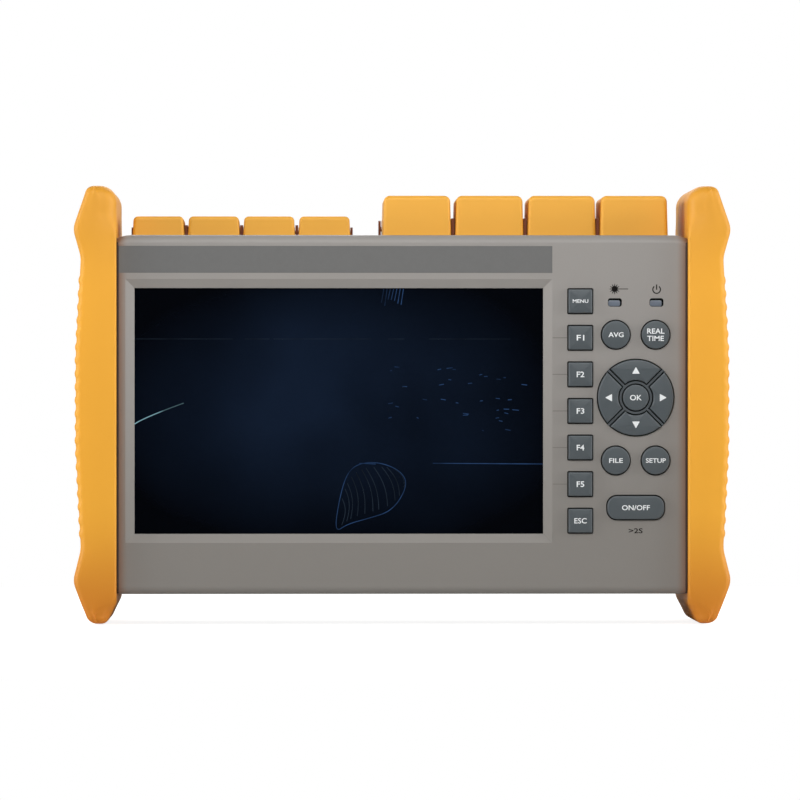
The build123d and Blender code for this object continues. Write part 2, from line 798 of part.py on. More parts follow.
standoff_reach = lcd_width / 2 - standoff_inset
standoff_rise = (lcd_height - bracket_rim) / 2
standoff_places = [
    (display_x + side * standoff_reach, display_z + rise * standoff_rise)
    for side in (-1, 1)
    for rise in (-1, 1)
]
with BuildPart() as display_bracket:
    with BuildSketch(view_plane(bracket_back_y)):
        with Locations((display_x, display_z)):
            Rectangle(lcd_width, lcd_height)
            Rectangle(lcd_width - 2 * bracket_rim, lcd_height - 2 * bracket_rim, mode=Mode.SUBTRACT)
        with Locations(*bracket_screws):
            RectangleRounded(bracket_tab, bracket_tab, plate_corner)
        with Locations(*bracket_screws):
            Circle(screw_radius, mode=Mode.SUBTRACT)
    extrude(amount=bracket_thickness)
display_bracket.part.label = "display_bracket"
export_step(display_bracket.part, "parts/display_bracket.step")

with BuildPart() as board_standoffs:
    with BuildSketch(view_plane(main_board_y)):
        with Locations(*standoff_places):
            RegularPolygon(standoff_radius, 6)
            Circle(screw_radius, mode=Mode.SUBTRACT)
    extrude(amount=standoff_length)
board_standoffs.part.label = "board_standoffs"
export_step(board_standoffs.part, "parts/board_standoffs.step")

# Boards and the screws that hold them
main_board_bottom = case_bottom + board_bottom_gap
main_board_top = case_top - board_top_gap
with BuildPart() as main_board:
    with BuildSketch(view_plane(main_board_back_y)):
        with Locations((0, (main_board_bottom + main_board_top) / 2)):
            RectangleRounded(main_board_width, main_board_top - main_board_bottom, plate_corner)
        with Locations(*standoff_places):
            Circle(screw_radius, mode=Mode.SUBTRACT)
    extrude(amount=board_thickness)
main_board.part.label = "main_board"
export_step(main_board.part, "parts/main_board.step")

with BuildPart() as keypad_board:
    with BuildSketch(view_plane(keypad_board_y + board_thickness)):
        with Locations(
            ((keypad_left_x + keypad_right_x) / 2, (keypad_bottom_z + keypad_top_z) / 2)
        ):
            RectangleRounded(
                keypad_right_x - keypad_left_x, keypad_top_z - keypad_bottom_z, plate_corner
            )
        with Locations(*keypad_screws):
            Circle(screw_radius, mode=Mode.SUBTRACT)
    extrude(amount=board_thickness)
keypad_board.part.label = "keypad_board"
export_step(keypad_board.part, "parts/keypad_board.step")

sector_reach = (dpad_radius + dpad_inner_radius) / 2
switch_places = []
for switch_shape, switch_x, switch_z, switch_turn in key_places.values():
    reach = sector_reach if switch_shape == "sector" else 0
    angle = math.radians(switch_turn)
    switch_places.append((switch_x - reach * math.sin(angle), switch_z + reach * math.cos(angle)))
with BuildPart() as key_switches:
    with BuildSketch(view_plane(keypad_board_y)):
        with Locations(*switch_places):
            Rectangle(switch_size, switch_size)
    extrude(amount=switch_body_height)
    with BuildSketch(view_plane(keypad_board_y - switch_body_height)):
        with Locations(*switch_places):
            Circle(plunger_radius)
    extrude(amount=plunger_height)
key_switches.part.label = "key_switches"
export_step(key_switches.part, "parts/key_switches.step")


def pan_screws(places, seat_y):
    """Small pan head screws with their heads seated at depth seat_y, in the open part."""
    with BuildSketch(view_plane(seat_y + screw_head_height)) as heads:
        with Locations(*places):
            Circle(screw_head_radius)
    extrude(heads.sketch, amount=screw_head_height)
    with BuildSketch(view_plane(seat_y)) as shanks:
        with Locations(*places):
            Circle(screw_radius)
    extrude(shanks.sketch, amount=screw_length)


with BuildPart() as board_screws:
    pan_screws(keypad_screws, keypad_board_y + board_thickness)
    pan_screws(bracket_screws, bracket_back_y)
    pan_screws(standoff_places, main_board_back_y)
board_screws.part.label = "board_screws"
export_step(board_screws.part, "parts/board_screws.step")


# Two light pipes, each from the board up to its window in the panel
with BuildPart() as indicator_lenses:
    with BuildSketch(view_plane(keypad_board_y)):
        with Locations(*[(x, indicator_z) for x in indicator_xs]):
            RectangleRounded(indicator_width, indicator_height, indicator_corner)
    extrude(amount=keypad_board_y - front_y - indicator_sink)
    with BuildSketch(view_plane(panel_back_y + key_flange_thickness)):
        with Locations(*[(x, indicator_z) for x in indicator_xs]):
            RectangleRounded(
                indicator_width + 2 * key_flange, indicator_height + 2 * key_flange,
                indicator_corner,
            )
    extrude(amount=key_flange_thickness)
indicator_lenses.part.label = "indicator_lenses"
export_step(indicator_lenses.part, "parts/indicator_lenses.step")

with BuildPart() as title_strip:
    with BuildSketch(view_plane(front_y + title_recess)):
        with Locations(((title_left_x + title_right_x) / 2, title_bottom_z + title_height / 2)):
            Rectangle(title_right_x - title_left_x, title_height)
    extrude(amount=title_thickness)
title_strip.part.label = "title_strip"
export_step(title_strip.part, "parts/title_strip.step")

# Optical bench on the main board, pocketed over the screws under it, and its adapters
with BuildPart() as optical_module:
    with BuildSketch(view_plane(main_board_back_y + module_thickness)):
        with Locations((module_x, module_top_z - module_height / 2)):
            RectangleRounded(module_width, module_height, module_corner)
    extrude(amount=module_thickness)
    fillet(optical_module.faces().sort_by(Axis.Y)[-1].edges(), module_edge_radius)
    pocket_depth = screw_head_height + head_clearance
    with BuildSketch(view_plane(main_board_back_y + pocket_depth)):
        with Locations(*standoff_places):
            Circle(screw_head_radius + head_clearance)
    extrude(amount=pocket_depth, mode=Mode.SUBTRACT)
optical_module.part.label = "optical_module"
export_step(optical_module.part, "parts/optical_module.step")


def make_adapter(label, x):
    """Bulkhead adapter: flange on the case, threaded barrel with a key slot, sleeve bore."""
    flange_top_z = case_top + adapter_flange_thickness
    barrel_top_z = flange_top_z + adapter_barrel_height
    with BuildPart() as adapter:
        with BuildSketch(Plane.XY.offset(case_top)):
            with Locations((x, adapter_y)):
                RectangleRounded(adapter_flange_width, adapter_flange_depth, plate_corner)
        extrude(amount=adapter_flange_thickness)
        with BuildSketch(Plane.XY.offset(flange_top_z)):
            with Locations((x, adapter_y)):
                Circle(adapter_barrel_radius)
        extrude(amount=adapter_barrel_height)
        chamfer(adapter.faces().sort_by(Axis.Z)[-1].edges(), adapter_barrel_chamfer)
        with BuildSketch(Plane.XY.offset(case_top)):
            with Locations((x, adapter_y)):
                Circle(adapter_body_radius)
        extrude(amount=-(case_top - module_top_z - adapter_module_gap))
        with BuildSketch(Plane.XY.offset(barrel_top_z)):
            with Locations((x, adapter_y - adapter_barrel_radius + adapter_slot_depth / 2)):
                Rectangle(adapter_slot_width, adapter_slot_depth)
        extrude(amount=-adapter_slot_drop, mode=Mode.SUBTRACT)
        with BuildSketch(Plane.XY.offset(barrel_top_z)):
            with Locations((x, adapter_y)):
                Circle(ferrule_bore_radius)
        extrude(amount=-ferrule_bore_depth, mode=Mode.SUBTRACT)
    adapter.part.label = label
    export_step(adapter.part, f"parts/{label}.step")


for number, adapter_x in enumerate(optical_xs, start=1):
    make_adapter(f"optical_adapter_{number}", adapter_x)

# Sockets on the main board, with their mouths just above the case
socket_top_z = case_top + socket_proud
jack_x, jack_y = socket_places[0][:2]
with BuildPart() as power_jack:
    with BuildSketch(Plane.XY.offset(socket_top_z)):
        with Locations((jack_x, jack_y)):
            RectangleRounded(jack_width, jack_depth, jack_corner)
    extrude(amount=-jack_height)
    with BuildSketch(Plane.XY.offset(socket_top_z)):
        with Locations((jack_x, jack_y)):
            Circle(jack_mouth_radius)
            Circle(jack_pin_radius, mode=Mode.SUBTRACT)
    extrude(amount=-jack_mouth_depth, mode=Mode.SUBTRACT)
power_jack.part.label = "power_jack"
export_step(power_jack.part, "parts/power_jack.step")

ethernet_x, ethernet_y = socket_places[1][:2]
ethernet_mouth_y = ethernet_y + ethernet_mouth_offset
with BuildPart() as ethernet_socket:
    with BuildSketch(Plane.XY.offset(socket_top_z)):
        with Locations((ethernet_x, ethernet_y)):
            Rectangle(ethernet_width, ethernet_depth)
    extrude(amount=-ethernet_height)
    with BuildSketch(Plane.XY.offset(socket_top_z)):
        with Locations((ethernet_x, ethernet_mouth_y)):
            Rectangle(ethernet_mouth_width, ethernet_mouth_depth)
        with Locations((ethernet_x, ethernet_mouth_y - ethernet_mouth_depth / 2)):
            Rectangle(
                ethernet_latch_width, ethernet_latch_depth, align=(Align.CENTER, Align.MAX)
            )
    extrude(amount=-ethernet_hole, mode=Mode.SUBTRACT)
ethernet_socket.part.label = "ethernet_socket"
export_step(ethernet_socket.part, "parts/ethernet_socket.step")


def make_usb(label, place, height, shell, hole, tongue_width, tongue_thickness):
    """Metal shelled socket with the contact tongue inside its mouth."""
    x, y, width, depth = place
    with BuildPart() as usb:
        with BuildSketch(Plane.XY.offset(socket_top_z)):
            with Locations((x, y)):
                Rectangle(width, depth)
        extrude(amount=-height)
        with BuildSketch(Plane.XY.offset(socket_top_z)):
            with Locations((x, y)):
                Rectangle(width - 2 * shell, depth - 2 * shell)
        extrude(amount=-hole, mode=Mode.SUBTRACT)
        with BuildSketch(Plane.XY.offset(socket_top_z - hole)):
            with Locations((x, y - depth / 2 + shell + usb_tongue_gap + tongue_thickness / 2)):
                Rectangle(tongue_width, tongue_thickness)
        extrude(amount=hole - usb_tongue_sink)
    usb.part.label = label
    export_step(usb.part, f"parts/{label}.step")


make_usb(
    "usb_host_socket", socket_places[2], usb_height, usb_shell, usb_hole,
    usb_tongue_width, usb_tongue_thickness,
)
make_usb(
    "usb_device_socket", socket_places[3], mini_usb_height, mini_usb_shell, mini_usb_hole,
    mini_usb_tongue_width, mini_usb_tongue_thickness,
)


def make_rail(label, xs, cover_width, gap, knuckle_radius, pin_radius, pin_z):
    """Sunk plate with a thin web beside every cover, bored for the hinge pin."""
    web_thickness = gap - 2 * web_clearance
    rail_left, rail_right = rail_span(xs, cover_width)
    plate_bottom_z = case_top - rail_recess
    inner_webs = [(a + b) / 2 - web_thickness / 2 for a, b in zip(xs, xs[1:])]
    webs = [(rail_left, rail_end_web), (rail_right - rail_end_web, rail_end_web)]
    webs += [(left, web_thickness) for left in inner_webs]
    with BuildPart() as rail:
        with BuildSketch(Plane.XY.offset(plate_bottom_z)):
            with Locations(((rail_left + rail_right) / 2, pin_y)):
                Rectangle(rail_right - rail_left, 2 * rail_half_depth)
        extrude(amount=rail_plate_thickness)
        for left, thickness in webs:
            with BuildSketch(Plane.YZ.offset(left)):
                with Locations((pin_y, pin_z)):
                    Circle(knuckle_radius)
                with Locations((pin_y, plate_bottom_z)):
                    Rectangle(
                        2 * knuckle_radius, pin_z - plate_bottom_z,
                        align=(Align.CENTER, Align.MIN),
                    )
            extrude(amount=thickness)
        with BuildSketch(Plane.YZ.offset(rail_left)):
            with Locations((pin_y, pin_z)):
                Circle(pin_radius)
        extrude(amount=rail_right - rail_left, mode=Mode.SUBTRACT)
    rail.part.label = label
    export_step(rail.part, f"parts/{label}.step")


make_rail(
    "optical_hinge_rail", optical_xs, optical_cover_width, optical_cover_gap,
    optical_knuckle_radius, optical_pin_radius, optical_pin_z,
)
make_rail(
    "port_hinge_rail", port_xs, port_cover_width, port_cover_gap,
    port_knuckle_radius, port_pin_radius, port_pin_z,
)

# Straight wire pins, one through all the webs and covers of each row
pin_rows = [
    (optical_xs, optical_cover_width, optical_pin_radius, optical_pin_z),
    (port_xs, port_cover_width, port_pin_radius, port_pin_z),
]
with BuildPart() as cover_hinge_pins:
    for xs, row_cover_width, pin_radius, pin_z in pin_rows:
        pin_left, pin_right = rail_span(xs, row_cover_width)
        with BuildSketch(Plane.YZ.offset(pin_left)):
            with Locations((pin_y, pin_z)):
                Circle(pin_radius)
        extrude(amount=pin_right - pin_left)
    chamfer(cover_hinge_pins.edges().filter_by(GeomType.CIRCLE), pin_end_chamfer)
cover_hinge_pins.part.label = "cover_hinge_pins"
export_step(cover_hinge_pins.part, "parts/cover_hinge_pins.step")


def make_cover(
    label, x, width, height, draft, corner, edge, depth, wall, knuckle_radius, pin_radius, pin_z
):
    """Hollow flip cover with soft front edges that turns on the hinge pin behind it."""
    half = width / 2
    cover_front_y = pin_y - depth
    cover_rear_y = pin_y + cover_rear_overhang
    top_z = case_top + height
    knuckle_front_y = pin_y - knuckle_radius
    inner_top_z = top_z - wall
    with BuildPart() as cover:
        with BuildSketch(view_plane(cover_rear_y, x, case_top)):
            with BuildLine():
                FilletPolyline(
                    (-half, cover_seat_gap), (half, cover_seat_gap),
                    (half - draft, height), (draft - half, height),
                    radius=[0, 0, corner, corner], close=True,
                )
            make_face()
        extrude(amount=cover_rear_y - cover_front_y)
        front_edges = cover.faces().sort_by(Axis.Y)[0].edges().sort_by(Axis.Z)[1:]
        fillet(front_edges, edge)
        with BuildSketch(Plane.YZ.offset(x - width / 2)):
            with BuildLine():
                FilletPolyline(
                    (cover_front_y, case_top), (cover_rear_y, case_top),
                    (cover_rear_y, top_z), (cover_front_y, top_z),
                    radius=[0, 0, cover_rear_corner, 0], close=True,
                )
            make_face()
        extrude(amount=width, mode=Mode.INTERSECT)
        with BuildSketch(Plane.YZ.offset(x - width / 2)):
            with Locations((knuckle_front_y, case_top)):
                Rectangle(
                    2 * knuckle_radius + cover_rear_overhang, pin_z - case_top,
                    align=(Align.MIN, Align.MIN),
                )
        extrude(amount=width, mode=Mode.SUBTRACT)
        with BuildSketch(Plane.YZ.offset(x - width / 2)):
            with Locations((pin_y, pin_z)):
                Circle(knuckle_radius)
        extrude(amount=width)
        with BuildSketch(Plane.YZ.offset(x - width / 2 + wall)):
            with Locations((cover_front_y + wall, case_top)):
                Rectangle(
                    knuckle_front_y - wall / 2 - cover_front_y - wall, inner_top_z - case_top,
                    align=(Align.MIN, Align.MIN),
                )
        extrude(amount=width - 2 * wall, mode=Mode.SUBTRACT)
        with BuildSketch(Plane.YZ.offset(x - width / 2)):
            with Locations((pin_y, pin_z)):
                Circle(pin_radius + pin_running_clearance)
        extrude(amount=width, mode=Mode.SUBTRACT)
    cover.part.label = label
    export_step(cover.part, f"parts/{label}.step")


for number, cover_x in enumerate(optical_xs, start=1):
    make_cover(
        f"optical_cover_{number}", cover_x, optical_cover_width, optical_cover_height,
        optical_cover_draft, optical_cover_corner, optical_cover_edge, optical_cover_depth,
        optical_cover_wall, optical_knuckle_radius, optical_pin_radius, optical_pin_z,
    )
for number, cover_x in enumerate(port_xs, start=1):
    make_cover(
        f"port_cover_{number}", cover_x, port_cover_width, port_cover_height,
        port_cover_draft, port_cover_corner, port_cover_edge, port_cover_depth,
        port_cover_wall, port_knuckle_radius, port_pin_radius, port_pin_z,
    )

# Battery pack, its screwed cover and the stand
with BuildPart() as battery_pack:
    with BuildSketch(view_plane(bay_floor_y + battery_clearance + battery_thickness)):
        with Locations((0, bay_z)):
            RectangleRounded(battery_width, battery_height, battery_corner)
    extrude(amount=battery_thickness)
    fillet(battery_pack.faces().sort_by(Axis.Y)[-1].edges(), battery_edge_radius)
battery_pack.part.label = "battery_pack"
export_step(battery_pack.part, "parts/battery_pack.step")

with BuildPart() as battery_cover:
    with BuildSketch(view_plane(rear_y)):
        with Locations((0, bay_z)):
            RectangleRounded(battery_cover_width, battery_cover_height, battery_cover_corner)
    extrude(amount=battery_cover_thickness)
    chamfer(battery_cover.faces().sort_by(Axis.Y)[-1].edges(), battery_cover_chamfer)
    with BuildSketch(view_plane(rear_y)):
        with Locations(*cover_screw_places):
            Circle(cover_screw_head_radius + head_clearance)
    extrude(amount=cover_screw_head_height, mode=Mode.SUBTRACT)
    with BuildSketch(view_plane(rear_y)):
        with Locations(*cover_screw_places):
            Circle(cover_screw_radius)
    extrude(amount=battery_cover_thickness, mode=Mode.SUBTRACT)
battery_cover.part.label = "battery_cover"
export_step(battery_cover.part, "parts/battery_cover.step")

with BuildPart() as battery_cover_screws:
    with BuildSketch(view_plane(rear_y)):
        with Locations(*cover_screw_places):
            Circle(cover_screw_head_radius)
    extrude(amount=cover_screw_head_height)
    with BuildSketch(view_plane(rear_y)):
        with Locations(*cover_screw_places):
            Circle(cover_screw_radius)
    extrude(amount=cover_screw_length)
battery_cover_screws.part.label = "battery_cover_screws"
export_step(battery_cover_screws.part, "parts/battery_cover_screws.step")

pad_x = stand_outer_x - pad_inset
pad_places = [(side * pad_x, stand_bar_z + stand_bar_height / 2) for side in (-1, 1)]
stand_rear_y = stand_front_y + stand_thickness
with BuildPart() as stand:
    with BuildSketch(view_plane(stand_rear_y)):
        add(stand_outline(0))
    extrude(amount=stand_thickness)
    for side in (-1, 1):
        with BuildSketch(Plane.YZ.offset(side * stand_leg_x - stand_leg_width / 2)):
            with Locations((stand_hinge_y, stand_hinge_z)):
                Circle(stand_thickness / 2)
        extrude(amount=stand_leg_width)
        with BuildSketch(Plane.YZ.offset(side * stand_leg_x - stand_leg_width / 2)):
            with Locations((stand_hinge_y, stand_hinge_z)):
                Circle(stand_pin_radius + stand_pin_clearance)
        extrude(amount=stand_leg_width, mode=Mode.SUBTRACT)
    with BuildSketch(view_plane(stand_rear_y)):
        with Locations(*pad_places):
            RectangleRounded(pad_width, pad_height, plate_corner)
    extrude(amount=pad_sink, mode=Mode.SUBTRACT)
stand.part.label = "stand"
export_step(stand.part, "parts/stand.step")

with BuildPart() as stand_pads:
    with BuildSketch(view_plane(stand_rear_y - pad_sink + pad_thickness)):
        with Locations(*pad_places):
            RectangleRounded(pad_width, pad_height, plate_corner)
    extrude(amount=pad_thickness)
stand_pads.part.label = "stand_pads"
export_step(stand_pads.part, "parts/stand_pads.step")

with BuildPart() as stand_pins:
    for side in (-1, 1):
        with BuildSketch(Plane.YZ.offset(side * stand_leg_x - stand_pin_half)):
            with Locations((stand_hinge_y, stand_hinge_z)):
                Circle(stand_pin_radius)
        extrude(amount=2 * stand_pin_half)
stand_pins.part.label = "stand_pins"
export_step(stand_pins.part, "parts/stand_pins.step")
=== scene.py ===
import json
import math

import bmesh
import bpy
import numpy as np
from bpy.props import FloatProperty, FloatVectorProperty, PointerProperty
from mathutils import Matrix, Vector

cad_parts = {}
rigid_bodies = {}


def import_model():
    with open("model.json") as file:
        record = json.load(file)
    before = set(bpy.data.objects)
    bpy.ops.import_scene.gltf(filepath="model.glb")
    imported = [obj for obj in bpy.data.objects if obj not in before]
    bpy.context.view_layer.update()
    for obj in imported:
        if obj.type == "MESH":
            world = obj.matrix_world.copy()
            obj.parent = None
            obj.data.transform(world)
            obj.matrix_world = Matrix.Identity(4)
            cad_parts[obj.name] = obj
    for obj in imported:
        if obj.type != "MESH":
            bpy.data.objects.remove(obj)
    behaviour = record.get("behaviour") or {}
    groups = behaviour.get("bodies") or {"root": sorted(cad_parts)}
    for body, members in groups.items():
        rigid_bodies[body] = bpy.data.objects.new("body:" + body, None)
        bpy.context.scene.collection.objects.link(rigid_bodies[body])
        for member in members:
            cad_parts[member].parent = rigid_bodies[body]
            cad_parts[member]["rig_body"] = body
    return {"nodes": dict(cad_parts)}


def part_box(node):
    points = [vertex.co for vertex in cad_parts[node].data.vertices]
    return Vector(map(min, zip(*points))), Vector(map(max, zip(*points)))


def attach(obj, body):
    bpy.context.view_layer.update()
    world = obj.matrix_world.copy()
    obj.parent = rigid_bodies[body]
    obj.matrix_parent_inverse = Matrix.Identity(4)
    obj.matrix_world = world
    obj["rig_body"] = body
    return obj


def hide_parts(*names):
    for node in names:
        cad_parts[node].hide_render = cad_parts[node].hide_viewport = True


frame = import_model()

bl_info = {
    "name": "Optical Time Domain Reflectometer",
    "version": (1, 0, 0),
    "blender": (4, 5, 0),
    "location": "3D View > Sidebar > Reflectometer",
    "description": "Dresses the packed solids of a portable optical time domain reflectometer",
    "category": "Object",
}

MM = 0.001
nodes = frame["nodes"]


def body_of(node):
    """Name of the body that a solid belongs to."""
    return nodes[node]["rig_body"]


def box_mm(node):
    """Lowest and highest corners of a solid in millimetres."""
    low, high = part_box(node)
    return np.array(low) / MM, np.array(high) / MM


def middle_mm(node):
    """Middle x and z of a solid in millimetres."""
    low, high = box_mm(node)
    return ((low + high) / 2)[[0, 2]]


# Places read from the solids, in millimetres
case_low, case_high = box_mm("front_shell")
rear_high = box_mm("rear_shell")[1]
case_side_x = case_high[0]
case_bottom_z = case_low[2]
case_top_z = case_high[2]
front_y = case_low[1]
bumper_low, bumper_high = box_mm("right_bumper")
window_low, window_high = box_mm("display_window")
key_names = [n for n in nodes if n.endswith("_key")]
ring_centre = middle_mm("dpad_frame")

# Sizes that the boxes don't tell, in millimetres
case_edge = 3
case_top_corner = 13
case_foot_corner = 6
lip_overlap = 7.35
pocket_gap = 0.1
waist_low = case_bottom_z + 17
waist_high = case_top_z - 8.5
flange_width = 0.65
flange_depth = 1.2
ring_outer = 14.5
ring_inner = 6.5
ring_half_gap = 0.7
arrow_key_middle = 10.4
arrow_middle = 10.3
window_border = 3.2
bezel_width = 3.4
ink_sink = 0.04
lamp_size = np.array([5.3, 3.2])
key_turns = {"up_key": 0, "left_key": 90, "down_key": 180, "right_key": 270}
round_keys = ("avg_key", "real_time_key", "file_key", "setup_key", "ok_key")
square = np.array([[1, 1], [-1, 1], [-1, -1], [1, -1]])


def linear(code):
    """A six digit sRGB hex colour as linear red, green, blue and alpha."""
    parts = [int(code[i:i + 2], 16) / 255 for i in (0, 2, 4)]
    return [p / 12.92 if p <= 0.04045 else ((p + 0.055) / 1.055) ** 2.4 for p in parts] + [1.0]


def colour(code, name, description):
    """A colour property that starts at a hex colour."""
    return FloatVectorProperty(
        name=name, description=description, subtype="COLOR", size=4, min=0, max=1,
        default=linear(code),
    )


def length(value, name, description):
    """A length property that starts at a size in millimetres."""
    return FloatProperty(
        name=name, description=description, default=value * MM, min=0, unit="LENGTH",
        subtype="DISTANCE", precision=5,
    )


def power(value, name, description):
    """A lamp's power property in watts."""
    return FloatProperty(name=name, description=description, default=value, min=0, unit="POWER")


class ReflectometerFinishes(bpy.types.PropertyGroup):
    """Colours of the mouldings, keys, prints and metals."""

    case: colour("989490", "Case", "Grey of the two shells")
    # Painted shade: the front deepens to this grey towards the floor, where less light falls.
    case_low: colour("88847F", "Case foot", "Deeper grey of the front towards the floor")
    # Painted shadow and reflection: the front turns brown beside the bumpers' lips, for their
    # shade and the yellow rubber's bounce.
    case_side: colour("7B5A45", "Case sides", "Brown grey of the front beside the bumpers")
    bumper: colour("F8AF2C", "Bumpers", "Yellow of the rubber end bumpers")
    # Painted shade: the horns and the feet fade to the two deeper yellows below.
    bumper_high: colour("E9A228", "Bumper horns", "Yellow of the horns above the case")
    bumper_low: colour("D5810F", "Bumper feet", "Deeper yellow towards the feet")
    cover: colour("FBB63E", "Covers", "Yellow of the flip covers")
    # Painted shade: the rails' yellow nylon is drawn dark brown, as in the shade between covers.
    rail: colour("783A0E", "Hinge rails", "Brown yellow of the hinge rails")
    key: colour("4E5559", "Keys", "Slate grey of the key caps")
    web: colour("4C5256", "Arrow ring web", "Dark grey of the web between the arrow keys")
    title: colour("696968", "Title strip", "Grey of the strip above the display")
    lens: colour("727A86", "Lamp lenses", "Blue grey of the two lamp lenses")
    glass: colour("05070C", "Display glass", "Near black of the unlit display")
    glow: colour("141F31", "Display glow", "Dark blue of the middle of the display")
    legend: colour("F2F5F6", "Key legends", "White of the printed key legends")
    print: colour("100D0C", "Panel print", "Black of the signs on the panel")
    line: colour("7B7672", "Guide lines", "Darker grey of the lines beside the function keys")


class ReflectometerForms(bpy.types.PropertyGroup):
    """Sizes of the shapes that are finer than the solids."""

    bumper_crown: length(0.5, "Bumper crown", "How far the bumper's front face bulges")
    side_crown: length(0.3, "Side crown", "How far the bumper's side bulges at mid depth")
    end_crown: length(1.2, "End crown", "How far the bumper's top and foot bulge at mid depth")
    bumper_edge: length(2.6, "Bumper edge", "Radius of the bumper's outer edges")
    lip_edge: length(1.0, "Lip edge", "Radius of the lip's edge over the case")
    horn_edge: length(5.5, "Horn edge", "Radius of the inner edges above and below the case")
    rib_pitch: length(5.05, "Rib pitch", "Distance between the grip ribs")
    rib_radius: length(3.2, "Rib radius", "Radius of each grip rib")
    rib_proud: length(0.45, "Rib height", "How far a rib stands out of the grip band")
    key_crown: length(0.25, "Key crown", "How far a key's face bulges")
    key_edge: length(0.5, "Key edge", "Radius of a key's front edge")
    key_clearance: length(0.15, "Key clearance", "How far a key cap is smaller than its solid")
    web_clearance: length(0.12, "Web clearance", "Between a cover's side and the web beside it")
    print_thickness: length(0.03, "Print thickness", "Thickness of printed ink")
    line_width: length(0.32, "Guide line width", "Width of the lines beside the keys")


class ReflectometerStudio(bpy.types.PropertyGroup):
    """Camera, lamps and floor."""

    distance: length(2115, "Camera distance", "From the camera to the middle of the object")
    sidestep: length(42, "Camera sidestep", "How far the camera stands to the left")
    height: length(85.5, "Camera height", "Height of the camera above the floor")
    view_width: length(307.6, "View width", "Width of the picture at the object")
    key_power: power(1.15, "Key lamp", "Power of the soft lamp above the front")
    side_power: power(13, "Side lamps", "Power of each soft lamp at the side")
    back_power: power(5, "Back lamp", "Power of the soft lamp behind the object")
    ambient: FloatProperty(
        name="Ambient", description="Strength of the light from all round", default=0.09,
        min=0, max=2, subtype="FACTOR",
    )
    floor: colour("F4F4F3", "Floor", "Near white of the floor")


# Surfaces


def unit(angle):
    """Front view points on a circle of radius 1, at angles in radians."""
    return np.stack([np.cos(angle), np.sin(angle)], -1)


def spun(points, degrees):
    """Front view points turned anticlockwise, then moved to the middle of the arrow keys."""
    across, up = unit(math.radians(degrees))
    return np.asarray(points) @ [[across, up], [-up, across]] + ring_centre


def fall(over, radius):
    """Drop of a rounded edge at a distance d past its start: r - sqrt(r^2 - d^2)."""
    past = np.clip(over, 0, radius)
    return radius - np.sqrt(radius ** 2 - past ** 2)


def rounded(corners, radii, steps=8):
    """Polygon with arcs for corners.

    Each arc touches both sides at radius / tan(half the corner's angle) from the corner, and
    its centre lies on the bisector at radius / sin(half the angle).
    """
    corner = np.asarray(corners, float)
    radius = np.broadcast_to(np.asarray(radii, float), len(corner))[:, None]
    back = np.roll(corner, 1, 0) - corner
    ahead = np.roll(corner, -1, 0) - corner
    back /= np.linalg.norm(back, axis=1, keepdims=True)
    ahead /= np.linalg.norm(ahead, axis=1, keepdims=True)
    half = np.arccos(np.clip((back * ahead).sum(1, keepdims=True), -1, 1)) / 2
    bisector = (back + ahead) / np.linalg.norm(back + ahead, axis=1, keepdims=True)
    centre = corner + bisector * radius / np.sin(half)
    start = corner + back * radius / np.tan(half) - centre
    end = corner + ahead * radius / np.tan(half) - centre
    first = np.arctan2(start[:, 1], start[:, 0])
    turn = np.arctan2(end[:, 1], end[:, 0]) - first
    turn = (turn + math.pi) % (2 * math.pi) - math.pi
    angle = first[:, None] + turn[:, None] * np.linspace(0, 1, steps + 1)
    return (centre[:, None] + radius[:, :, None] * unit(angle)).reshape(-1, 2)


def grid_faces(rows, columns, closed=True):
    """Quads between neighbouring rows and columns of a grid, joined round if closed."""
    first = np.arange(rows - 1)[:, None] * columns
    near = np.arange(columns if closed else columns - 1)[None, :]
    far = (near + 1) % columns
    corners = [first + near, first + far, first + columns + far, first + columns + near]
    return np.stack(corners, -1).reshape(-1, 4)


def smooth_step(value, low, high):
    """Rises from 0 at low to 1 at high along 3t^2 - 2t^3."""
    share = np.clip((value - low) / (high - low), 0, 1)
    return share * share * (3 - 2 * share)


def to_ring(outline, y):
    """Front view points x, z with their depth y, as points x, y, z."""
    depth = np.broadcast_to(y, outline.shape[:-1])
    return np.stack([outline[..., 0], depth, outline[..., 1]], -1)


def make_piece(name, grids, material, body, replaced=(), sharp=40):
    """Object from closed grids of points in millimetres, joined in one mesh.

    Doubles are merged and faces turned outwards.
    """
    faces, start = [], 0
    for grid in grids:
        faces.append(grid_faces(*grid.shape[:2]) + start)
        start += grid.shape[0] * grid.shape[1]
    points = np.concatenate([grid.reshape(-1, 3) for grid in grids]) * MM
    mesh = bpy.data.meshes.new(name)
    mesh.from_pydata(points.tolist(), [], np.concatenate(faces).tolist())
    form = bmesh.new()
    form.from_mesh(mesh)
    bmesh.ops.remove_doubles(form, verts=form.verts, dist=0.002 * MM)
    bmesh.ops.recalc_face_normals(form, faces=form.faces)
    form.to_mesh(mesh)
    form.free()
    mesh.polygons.foreach_set("use_smooth", np.ones(len(mesh.polygons), bool))
    mesh.set_sharp_from_angle(angle=math.radians(sharp))
    show(name, mesh, material, body, replaced)


def show(name, mesh, material, body, replaced=()):
    """Links a mesh as a piece that rides on a body and may stand for solids."""
    piece = bpy.data.objects.new(name, mesh)
    mesh.materials.clear()
    mesh.materials.append(bpy.data.materials[material])
    bpy.context.scene.collection.objects.link(piece)
    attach(piece, body)
    if replaced:
        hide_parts(*replaced)


